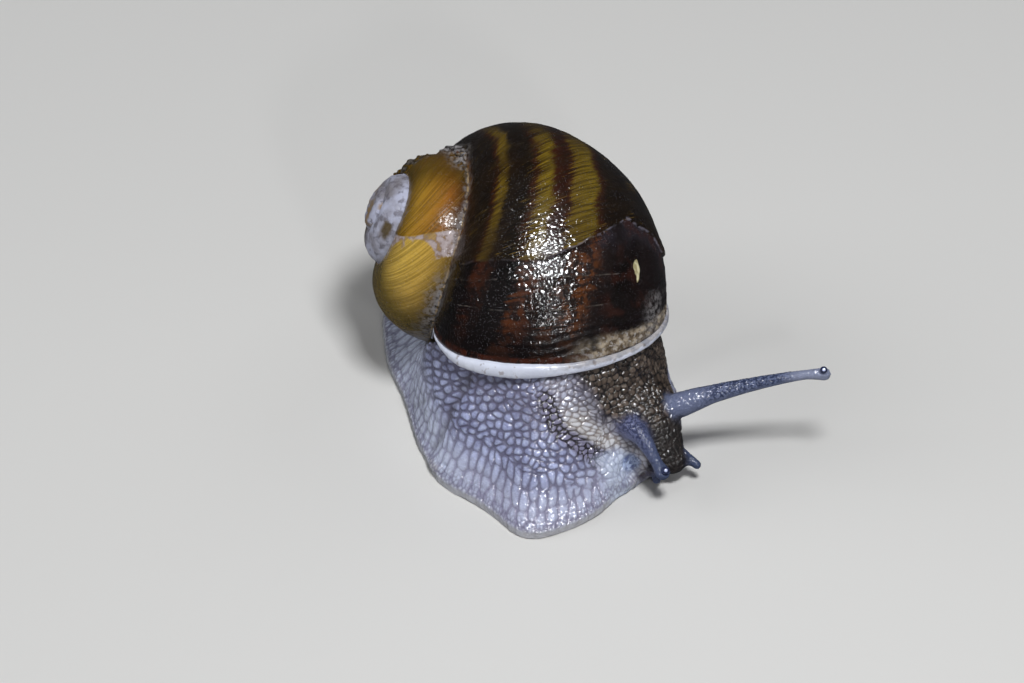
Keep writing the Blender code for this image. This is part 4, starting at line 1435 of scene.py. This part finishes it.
# %% Places on the head
HEAD_FROM = np.array((0.5, -2.5))
HEAD_BEARING = math.radians(-45)
HEAD_WAY = np.array((math.cos(HEAD_BEARING), math.sin(HEAD_BEARING)))
HEAD_LEFT = np.array((-HEAD_WAY[1], HEAD_WAY[0]))
FURROW_HEIGHTS = (0.0, 2.0, 3.8, 4.7, 5.9, 7.1, 8.3, 9.9, 11.2, 12.6)
FURROW_REACH = (7.4, 7.0, 6.3, 5.5, 4.5, 3.5, 2.0, 1.2, 0.5, -0.5)

head_along = (points[:, :2] - HEAD_FROM) @ HEAD_WAY
head_side = (points[:, :2] - HEAD_FROM) @ HEAD_LEFT
head_fold = np.where(head_side > 0, 0.5 * head_side, -head_side)
folded_x = HEAD_FROM[0] + (head_along - head_fold) * HEAD_WAY[0]
ahead = folded_x - np.interp(points[:, 2], FURROW_HEIGHTS, FURROW_REACH)
print("points ahead of the furrow:", int((ahead > 0).sum()))

# %% [markdown]
# Each fold, lobe or cleft is a chain of stations or a single spot, placed where it lies on the
# animal.  A point's distance from it says how much the fold moves that point.

# %% Lines and spots of the folds


def from_chain(*chain):
    """The distance of every point from a line of joined stations."""
    chain = np.array(chain, float)
    best = np.full(len(points), 1e9)
    for a, b in zip(chain, chain[1:]):
        t = np.clip((points - a) @ (b - a) / ((b - a) @ (b - a)), 0, 1)
        best = np.minimum(best, np.linalg.norm(points - a - t[:, None] * (b - a), axis=1))
    return best


def from_spot(*spot):
    return np.linalg.norm(points - np.array(spot), axis=1)


def soft(gap, width):
    """1 on a line or spot and 0 beyond its width."""
    return smooth_between(width, 0.0, gap)


furrow_gap = from_chain((0.5, -12.4, 11.4), (1.2, -13.2, 10.0), (2.0, -13.9, 8.3),
                        (3.5, -14.0, 7.1), (4.5, -14.0, 5.9), (5.5, -13.8, 4.7),
                        (6.4, -13.4, 4.0))
long_fold = from_chain((-7.0, -8.9, 11.1), (-8.5, -9.1, 8.1), (-9.3, -9.2, 5.7), (-10.3, -9.3, 3.0),
                       (-11.0, -9.0, 1.6))
side_fold = from_chain((-8.2, -8.6, 9.6), (-10.0, -7.3, 7.2), (-11.5, -5.4, 4.8),
                       (-12.8, -2.8, 1.6))
lobe_gap = from_chain((6.8, -13.6, 3.3), (7.5, -13.9, 1.9), (8.2, -13.6, 1.2))
lobe_top = from_spot(7.7, -12.9, 3.2)
pout_gap = from_spot(9.2, -13.1, 0.9)
notch_gap = from_spot(6.7, -12.9, 4.3)
cleft_gap = from_chain((10.2, -12.5, 0.8), (10.9, -13.0, 1.7), (11.2, -13.2, 2.4))
bump_gap = from_chain((-10.2, -11.3, 1.0), (-10.7, -10.4, 0.9))
dimple_gap = from_spot(-9.5, -11.7, 1.8)
print("nearest points to the furrow:", round(float(furrow_gap.min()), 2), "mm")

# %% Push the folds
push = -0.34 * soft(furrow_gap, 1.3) - 0.42 * soft(long_fold, 1.1) - 0.12 * soft(side_fold, 0.9)
push += 0.5 * soft(lobe_gap, 1.3) + 0.2 * soft(lobe_top, 1.0) + 0.45 * soft(pout_gap, 0.8)
push -= 0.5 * soft(notch_gap, 0.5) + 0.5 * soft(cleft_gap, 0.8)
faces_up = smooth_between(-0.1, 0.6, normals_of(skin_mesh)[:, 2])
push += 0.25 * soft(bump_gap, 0.9) * faces_up - 0.3 * soft(dimple_gap, 0.4)
push += 0.14 * soft_noise(points, 2.4, 35) * smooth_between(0.6, 0.2, feeler_share)
push += 0.08 * bump_at(0.35, 0.45, edge_d) * smooth_between(-0.2, -1.2, ahead)
outer = smooth_between(-0.5, 0.0, normals_of(skin_mesh)[:, 2])      # the sole stays flat


def pushed_out(amount):
    """The skin's points after a move outward, held above the ground."""
    moved = points + normals_of(skin_mesh) * (amount * outer)[:, None]
    moved[:, 2] = np.maximum(moved[:, 2], 0.0)
    return moved


points = pushed_out(push)
set_points(skin_mesh, points)
print("folds in mm:", round(float(push.min()), 2), "to", round(float(push.max()), 2))

# %% [markdown]
# ## Pebbled skin
#
# Snail skin is a net of grooves that carry slime over raised pebbles.  A bump map could fake it,
# but the grooves are a tenth of a millimetre deep on an animal a few centimetres long, which is
# enough to cut its outline and to catch a spark on every pebble.  So the pebbles are real, made
# as scattered cells.  On the foot they lie in its own coordinates and are drawn out to files near
# the edge.

# %% Cells of the foot
CELL_ROUND = 1.15
FILES_BELOW = 5.2                               # how far in from the edge the files reach, in mm
files = round(EDGE_LENGTH / CELL_ROUND)
file_width = EDGE_LENGTH / files
depth_steps = np.linspace(0, 30, 601)
cell_inward = np.interp(depth_steps, (0, 0.7, 1.6, 4.5, 6.5, 10.0, 14.0),
                        (0.8, 1.0, 1.9, 1.7, 1.25, 1.05, 0.95))
cells_in = np.concatenate([[0], np.cumsum(np.diff(depth_steps) / cell_inward[1:])])
file_rows = np.interp(FILES_BELOW, depth_steps, cells_in)


def foot_stray(cell):
    """Seeds near the edge keep to their file, and the others stray both ways."""
    share = smooth_between(file_rows - 0.6, file_rows + 0.8, cell[:, 1])
    return np.stack([0.22 + 0.58 * share, 0.85 + 0 * share, 0 * share], axis=1)


drift = np.stack([soft_noise(points, 2.5, 31), soft_noise(points, 2.5, 32)], axis=1)
drift += 0.5 * np.stack([soft_noise(points, 0.9, 33), soft_noise(points, 0.9, 34)], axis=1)
foot_cells = np.stack([edge_s / file_width + 0.16 * drift[:, 0],
                       np.interp(edge_d, depth_steps, cells_in) + 0.16 * drift[:, 1],
                       0 * edge_s], axis=1)
cross_faint = 0.10 * smooth_between(FILES_BELOW + 1, FILES_BELOW - 1, edge_d)
foot_inside, foot_number = pebbles(foot_cells, 41, flat=True, jitter=foot_stray, wrap=files,
                                   faint=cross_faint)
foot_inside *= file_width
print("pebbles:", files, "files round the foot, each", round(float(file_width), 2), "mm wide")

# %% [markdown]
# On the flank behind the neck the pebbles are rounder, and on the neck and head they are small
# and run round it as on a sleeve.  The front of the head turns too sharply for flat coordinates,
# so its cells fill space, and the skin shows where it cuts them.  A finer net and a row of small
# cells along the edge of the foot go over all of them.

# %% Cells of the flank, the head and its front
FLANK_CELL, FLANK_SHRINK = 0.90, 0.9
HEAD_CELL, HEAD_LONG = 0.40, 0.54
FRONT_CELL, FRONT_LONG = 0.62, 0.74
SMALL_CELL, EDGE_CELL, EDGE_DEEP = 0.30, 0.42, 0.6
folded_y = HEAD_FROM[1] + (head_along + head_fold) * HEAD_WAY[1]
up_flank = (0.8 * points[:, 2] + 0.6 * folded_y) / FLANK_SHRINK / FLANK_CELL
flank_cells = np.stack([folded_x / FLANK_CELL, up_flank, 0 * edge_s], axis=1)
flank_cells[:, :2] += 0.18 * drift
flank_inside, flank_number = pebbles(flank_cells, 45, flat=True)
flank_inside *= FLANK_CELL
NECK_MIDDLE, NECK_RADIUS = 4.0, 5.0             # a tube along the head, for places round the neck
round_neck = np.arctan2(head_side, points[:, 2] - NECK_MIDDLE) * NECK_RADIUS
lean = head_along - 0.35 * points[:, 2]
head_cells = np.stack([lean / HEAD_LONG, round_neck / HEAD_CELL, 0 * lean], axis=1)
head_cells[:, :2] += 0.2 * drift
head_inside, head_number = pebbles(head_cells, 42, flat=True)
head_inside *= HEAD_CELL

front_cells = np.stack([head_along / FRONT_LONG, head_side / FRONT_CELL,
                        points[:, 2] / FRONT_CELL], axis=1)
front_inside, front_number = pebbles(front_cells + 0.1 * drift[:, :1], 46, round_off=14.0)
front_inside *= FRONT_CELL

small_inside, _ = pebbles(points / SMALL_CELL, 43)
small_inside *= SMALL_CELL
edge_cells = np.stack([edge_s / EDGE_CELL, edge_d / EDGE_DEEP, 0 * edge_s], axis=1)
edge_inside, _ = pebbles(edge_cells + 0.2 * drift[:, :1], 44, flat=True)
edge_inside *= EDGE_CELL
print("kinds of cells: foot, flank, head, front, small and edge")

# %% [markdown]
# Each kind has its own ground.  The borders are drawn from the distance ahead of the furrow and
# the height, and the same drift that bends the cells makes them wander, so that no straight seam
# shows.

# %% Which cells lie where


def pebble_height(inside, groove, crown):
    return 0.5 * smooth_between(-0.03, groove, inside) + 0.5 * smooth_between(-0.03, crown, inside)


height = points[:, 2]
stray_ahead = ahead + 0.3 * drift[:, 0]
behind_neck = smooth_between(-3.6, -3.3, stray_ahead)
far_in = smooth_between(6.0, 6.4, edge_d + 0.6 * drift[:, 0])
on_flank = np.maximum(behind_neck * smooth_between(2.8, 3.4, height + 0.3 * drift[:, 1]), far_in)
on_head = smooth_between(-0.75, -0.45, stray_ahead) * smooth_between(3.2, 3.6, height + 0.5 * ahead)

past_furrow = smooth_between(-0.8, -0.5, stray_ahead)
at_nose = smooth_between(12.9, 13.3, head_along + 0.4 * drift[:, 0])
left_cheek = smooth_between(-2.8, -2.2, head_side + 0.4 * drift[:, 1])
right_cheek = ((1 - smooth_between(-2.8, -2.2, head_side))
               * smooth_between(6.9, 6.4, height + 0.3 * drift[:, 1]))
chin = smooth_between(4.2, 3.9, height + 0.3 * drift[:, 0])
on_front = np.maximum(np.maximum(at_nose, left_cheek + right_cheek) * past_furrow,
                      chin * past_furrow)
on_feeler = smooth_between(0.25, 0.75, feeler_share)
at_edge = smooth_between(2.6, 0.6, edge_d) * (1 - on_head)


def by_region(foot, flank, head, front):
    head = head * (1 - on_front) + front * on_front
    on_both = np.maximum(on_head, on_front)
    return (foot * (1 - on_flank) + flank * on_flank) * (1 - on_both) + head * on_both


form = by_region(pebble_height(foot_inside, 0.13, 0.46), pebble_height(flank_inside, 0.12, 0.34),
                 pebble_height(head_inside, 0.07, 0.13), pebble_height(front_inside, 0.06, 0.12))
number = by_region(foot_number, flank_number, head_number, front_number)
small_form = pebble_height(small_inside, 0.05, 0.11)
edge_form = pebble_height(edge_inside, 0.09, 0.2)
print("points on the head's own cells:", int((on_head > 0.5).sum()))

# %% [markdown]
# The pebbles are highest on the foot, lower on the head, nearly flat on the feelers and on the
# smooth pale lobes.  They are measured from a level a little above their middle, so that the skin
# as a whole neither swells nor shrinks.

# %% Raise the pebbles
LEVEL = 0.6                                    # the share of a pebble's height that isn't moved
deep = by_region(0.16, 0.15, 0.13, 0.13) * (1 - 0.85 * on_feeler) * (1 - 0.55 * at_edge)
smooth_lobe = np.clip(soft(lobe_gap, 1.5) + soft(pout_gap, 0.9) + soft(bump_gap, 0.7), 0, 1)
deep *= 1 - 0.6 * smooth_lobe
rise = deep * (form - LEVEL)
rise += 0.03 * (small_form - 0.5) * (1 - 0.3 * at_edge)
rise += 0.07 * (edge_form - 0.5) * at_edge * smooth_between(0.1, 0.45, edge_d)
points = pushed_out(rise)
set_points(skin_mesh, points * MM)
print("pebbles in mm:", round(float(rise.min()), 2), "to", round(float(rise.max()), 2))

# %% [markdown]
# The colours change from place to place as the forms do, so their borders are worked out from the
# same numbers: brown over the neck, head and snout, cream along the furrow, and milk-white lobes
# with a dark mouth below.  Painted on the points, they reach the material as plain masks.

# %% Numbers for the skin's colours
brown = smooth_between(2.1, 5.3, ahead + 0.5 * drift[:, 0] + 0.25 * drift[:, 1])
height = points[:, 2]
brown = np.maximum(brown, smooth_between(2.5, 4.5, head_side) * smooth_between(4.5, 6.5, height)
                   * smooth_between(-2.5, -0.5, ahead))
brown *= smooth_between(2.6, 4.0, height + 0.35 * (ahead - 3.0))
snout = smooth_between(13.4, 14.6, head_along + 0.3 * drift[:, 0])
snout = snout * smooth_between(-3.0, -1.6, head_side)
brown = np.maximum(brown, snout)
cream = smooth_between(0.2, 1.2, ahead + 0.2 * drift[:, 0]) * (1 - brown)
lobe = (smooth_between(5.2, 3.6, height) * smooth_between(-0.9, 0.1, ahead + 0.3 * drift[:, 0])
        * smooth_between(3.4, 1.6, ahead))
mouth = (smooth_between(5.6, 4.4, height) * smooth_between(1.8, 3.2, ahead)
         * smooth_between(0.2, -1.0, head_side))
navy = smooth_between(1.25, 0.5, from_spot(8.9, -12.2, 2.6) + 0.2 * drift[:, 0])
cream *= 0.3 + 0.7 * smooth_between(11.4, 8.8, height)
crown = brown * smooth_between(9.6, 11.2, head_along) * smooth_between(-0.5, 0.8, head_side)
print("brown points:", int((brown > 0.5).sum()), "cream points:", int((cream > 0.5).sum()))

# %% Paint them and place the skin
paint(skin_mesh, groove=np.clip(1.12 * (1 - form), 0, 1) ** 1.15, number=number,
      edge_line=(1 - edge_form) * at_edge, edge_d=edge_d, brown=brown, cream=cream * (1 - lobe),
      lobe=lobe, mouth=mouth * (1 - snout), snout=snout, navy=navy, crown=crown,
      # the furrow mask carries painted shade into the furrow between neck and foot
      furrow=soft(furrow_gap + 0.25 * drift[:, 0], 1.6),
      # the fold mask carries painted shade into the folds of the foot
      fold=np.clip(soft(long_fold, 0.8) + 0.6 * soft(side_fold, 0.5), 0, 1),
      pout=np.clip(soft(pout_gap, 1.0) + soft(bump_gap, 0.8), 0, 1),
      cleft=soft(cleft_gap, 0.6), ahead=ahead,
      left_along=smooth_between(13.0, 29.0, points[:, 0]),
      right_along=smooth_between(8.0, 12.6, points[:, 0]))
skin_mesh.shade_smooth()
place_piece("skin_dressed", skin_mesh, "skin", *FLESH)

# %% [markdown]
# ## The skin's colours
#
# The living skin of the foot is a lilac grey net of pebbles, palest near the edge.  Towards the
# tail, which lies in the shell's shadow, it is made paler still by painted light, and high on the
# foot under the shell a painted shade darkens it.  One flat colour under the bumps would look like
# clay, so the grooves are darker than the pebbles, each pebble has a shade of its own, and a
# mottle of light and dark lies on top.

# %% Pebbles and the grooves between them
material, shader, w = new_material("wet_skin")
place = w.add("TexCoord", "Object")
own_shade, groove = w.value("number"), w.value("groove")
cloud = w.between(w.noise(0.26 * PER_MM, 3.0, place), 0.35, 0.65)
granule = w.nodes.new("ShaderNodeTexVoronoi")
granule.feature = "DISTANCE_TO_EDGE"
w.set(granule.inputs["Vector"], place)
granule.inputs["Scale"].default_value = 4.6 * PER_MM
net = w.between(granule.outputs["Distance"], 0.02, 0.22)

mottle = w.noise(1.9 * PER_MM, 3.0, place, 0.65)
pebble = w.ramp(own_shade, ((0.0, srgb(150, 156, 194)), (0.5, srgb(174, 181, 221)),
                            (1.0, srgb(196, 204, 243))))
pebble = w.lay(pebble, srgb(146, 146, 170), cloud, 0.35)
pebble = w.mix(w.between(mottle, 0.50, 0.70, 0.0, 0.6), pebble, srgb(212, 221, 246))
pebble = w.mix(w.between(mottle, 0.48, 0.32, 0.0, 0.5), pebble, srgb(120, 120, 152))
pale = w.between(w.value("edge_d"), 6.5, 1.2)
pale_pebble = w.mix(mottle, srgb(188, 191, 216), srgb(224, 229, 246))
pebble = w.lay(pebble, pale_pebble, pale, 0.7)
channel = w.mix(pale, srgb(90, 85, 108), srgb(142, 137, 162))
# painted light: towards the tail, which lies in the shell's shadow, grooves and pebbles are paler
channel = w.mix(w.between(w.value("ahead"), -12.0, -17.0), channel, srgb(150, 150, 176))
pebble = w.mix(w.between(w.value("ahead"), -13.0, -18.0, 0.0, 0.9), pebble, srgb(214, 222, 244))
colour = w.mix(w.between(groove, 0.05, 0.72, 0.0, 0.8), pebble, channel)
# painted shade high on the foot, under the shell
under_shell_shade = w.times(w.between(w.value("edge_d"), 8.0, 13.0),
                  w.between(w.value("ahead"), -16.0, -12.0))
colour = w.lay(colour, srgb(102, 96, 110), under_shell_shade, 0.4)
# painted shade in the folds of the foot
colour = w.lay(colour, srgb(84, 78, 84), w.value("fold"), 0.5)
print("nodes so far:", len(w.nodes))

# %% [markdown]
# Along the furrow the skin is cream with tan grooves, and in the furrow itself a painted shade
# darkens it, nearly black between its pebbles.  The neck, the crown and the snout are brown,
# darkest on the crown and at the mouth.

# %% Cream, furrow and brown
tan = w.ramp(own_shade, ((0.0, srgb(212, 207, 202)), (0.5, srgb(230, 228, 228)),
                         (1.0, srgb(242, 242, 246))))
tan = w.lay(tan, srgb(132, 118, 108), groove, 0.85)
colour = w.lay(colour, tan, w.value("cream"), 0.9)
# painted shade in the furrow: nearly black between its pebbles, and darker on them too
furrow_shade_net = w.mix(w.between(groove, 0.1, 0.7), srgb(136, 131, 156), srgb(38, 31, 32))
colour = w.mix(w.between(w.value("furrow"), 0.0, 0.7, 0.0, 0.92), colour, furrow_shade_net)

brown_skin = w.ramp(own_shade, ((0.0, srgb(54, 44, 38)), (0.5, srgb(82, 69, 59)),
                                (1.0, srgb(112, 97, 85))))
brown_skin = w.mix(w.between(mottle, 0.50, 0.66, 0.0, 0.4), brown_skin, srgb(146, 132, 118))
brown_skin = w.lay(brown_skin, srgb(48, 40, 36), w.value("crown"), 0.4)
brown_skin = w.mix(groove, brown_skin, srgb(17, 13, 12))
dark_snout = w.mix(groove, srgb(30, 28, 29), srgb(58, 52, 50))
brown_skin = w.lay(brown_skin, dark_snout, w.value("snout"), 0.9)
colour = w.mix(w.value("brown"), colour, brown_skin)
print("nodes so far:", len(w.nodes))

# %% [markdown]
# Beside the mouth the skin is smooth and milky, with a blue spot where it is thin, a dusky mouth
# under it and a brown cleft.  The edge of the foot is pale, partly its own colour and partly
# painted light on its side wall, with fine lines across it.

# %% Lobes, mouth and edge
milk = w.mix(mottle, srgb(190, 201, 228), srgb(232, 240, 252))
milk = w.lay(milk, srgb(156, 164, 194), groove, 0.6)
colour = w.lay(colour, milk, w.value("lobe"), 0.85)
blue = w.mix(w.between(mottle, 0.42, 0.58), srgb(80, 96, 142), srgb(172, 188, 222))
dusky = w.mix(groove, srgb(132, 124, 124), srgb(60, 54, 56))
colour = w.lay(colour, dusky, w.value("mouth"), 0.75)
colour = w.lay(colour, blue, w.value("navy"), 0.9)
colour = w.lay(colour, srgb(196, 192, 190), w.value("pout"), 0.7)
colour = w.lay(colour, srgb(70, 54, 42), w.value("cleft"), 0.9)

# the pale edge is partly the foot's own colour and partly painted light on its side wall, which
# faces away from the lamps
rim = w.between(w.value("edge_d"), 0.9, 0.1)
rim = w.times(rim, w.between(w.value("ahead"), 0.5, -1.0))
pale_rim_and_light = w.mix(mottle, srgb(184, 185, 192), srgb(202, 200, 197))
colour = w.lay(colour, pale_rim_and_light, rim, 0.8)
line = w.times(w.value("edge_line"), w.between(w.value("edge_d"), 0.1, 0.5))
colour = w.lay(colour, srgb(112, 108, 132), line, 0.75)
print("nodes so far:", len(w.nodes))

# %% [markdown]
# The long feelers are clear blue-grey tubes peppered with dark specks, more of them on top than
# below.  The two differ, and both change along their length, so each has a colour and a mask.

# %% Feelers
speck = w.between(w.noise(4.2 * PER_MM, 3.0, place, 0.6), 0.44, 0.54)
rise = w.add("SeparateXYZ", 2, Vector=w.add("NewGeometry", "Normal"))
right_along, left_along = w.value("right_along"), w.value("left_along")
right = w.mix(right_along, srgb(108, 113, 148), srgb(70, 80, 108))
right_dark = w.times(w.times(speck, w.between(rise, -0.1, 0.5)),
                     w.between(right_along, 0.85, 0.4, 0.25, 1.0))
right = w.lay(right, srgb(38, 43, 74), right_dark, 0.85)
left = w.mix(left_along, srgb(114, 122, 152), srgb(96, 108, 140))
left_dark = w.times(w.times(speck, w.between(rise, -0.35, 0.35)),
                    w.between(left_along, 0.0, 0.22))
left = w.lay(left, srgb(32, 42, 74), left_dark, 0.9)
left = w.mix(w.between(left_along, 0.72, 0.92, 0.0, 0.8), left, srgb(150, 156, 180))
feeler = w.mix(w.value("left_feeler"), right, left)
colour = w.mix(w.value("feeler"), colour, feeler)
w.set(shader.inputs["Base Color"], colour)
print("nodes so far:", len(w.nodes))

# %% [markdown]
# The skin wears the same wet coat as the shell, glossier and with larger drops.  It is calmer on
# the crown and on the right feeler, where the film lies thin and even.

# %% Gloss of the skin
grain = use_group(w, WET_GRAIN, Position=place, Lumps_per_mm=2.8, Height=1.0, Dry=0.42,
                  Wet=0.26, Patch_per_mm=0.3)
w.set(shader.inputs["Roughness"], grain.outputs["Roughness"])
lumps = w.plus(grain.outputs["Height"], w.times(net, 0.25))
w.set(shader.inputs["Normal"], w.bump(lumps, 1.0, 0.06 * MM))
w.set(shader.inputs["Coat Normal"], w.bump(grain.outputs["Drops"], 1.0, 0.32 * MM))
smooth_stalk = w.times(w.value("feeler"), w.minus(1.0, w.value("left_feeler")))
crown = w.times(w.value("crown"), w.minus(1.0, w.value("feeler")))
calmer = w.math("MULTIPLY_ADD", crown, 0.5, w.times(smooth_stalk, 0.7))
w.set(shader.inputs["Coat Weight"], w.minus(1.0, calmer))
shader.inputs["Coat Roughness"].default_value = 0.10
shader.inputs["Coat IOR"].default_value = 1.9
shader.inputs["Specular IOR Level"].default_value = 0.3
skin_mesh.materials.clear()
skin_mesh.materials.append(material)
print("skin material nodes:", len(material.node_tree.nodes))

# %% [markdown]
# ## Eyes
#
# Each upper feeler ends in an eye: a black bead under clear skin, whose lens shines as a pale spot.
# The bead is a smooth ball with a bright clear coat, so that it shows one sharp spark.  The pale
# spot is a painted highlight, a round patch of paler colour found from the way that the surface
# faces.

# %% Eye material
GLINT_PAINT_WAY = (0.05, -0.64, 0.77)                 # the painted highlight faces up and to the side


def build_eye_material():
    material, shader, w = new_material("eye_black")
    place = w.add("TexCoord", "Object")
    colour = w.mix(w.noise(1.5 * PER_MM, 2.0, place), srgb(20, 24, 48), srgb(44, 54, 100))
    facing = w.add("VectorMath", 1, {"operation": "DOT_PRODUCT"})
    w.set(facing.node.inputs[0], w.add("NewGeometry", "Normal"))
    facing.node.inputs[1].default_value = GLINT_PAINT_WAY
    # painted highlight: a pale patch on the side of the bead that faces up and to the side
    colour = w.mix(w.between(facing, 0.87, 0.93), colour, srgb(206, 214, 244))
    w.set(shader.inputs["Base Color"], colour)
    shader.inputs["Roughness"].default_value = 0.18
    shader.inputs["Coat Weight"].default_value = 1.0
    shader.inputs["Coat Roughness"].default_value = 0.03
    shader.inputs["Coat IOR"].default_value = 2.0
    return material


eye_material = build_eye_material()
print("eye material nodes:", len(eye_material.node_tree.nodes))

# %% Eyes
EYE_RADIUS = 0.38
for name in ("eye_left", "eye_right"):
    corners = np.array([list(c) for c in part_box(name)]) / MM
    ball = bmesh.new()
    bmesh.ops.create_icosphere(ball, subdivisions=5, radius=EYE_RADIUS * MM)
    for vert in ball.verts:
        vert.co += Vector(corners.mean(axis=0) * MM)
    mesh = bpy.data.meshes.new(name + "_bead")
    ball.to_mesh(mesh)
    ball.free()
    mesh.shade_smooth()
    mesh.materials.append(eye_material)
    place_piece(name + "_bead", mesh, "eye", name)
    print(name, "at", [round(float(c), 1) for c in corners.mean(axis=0)])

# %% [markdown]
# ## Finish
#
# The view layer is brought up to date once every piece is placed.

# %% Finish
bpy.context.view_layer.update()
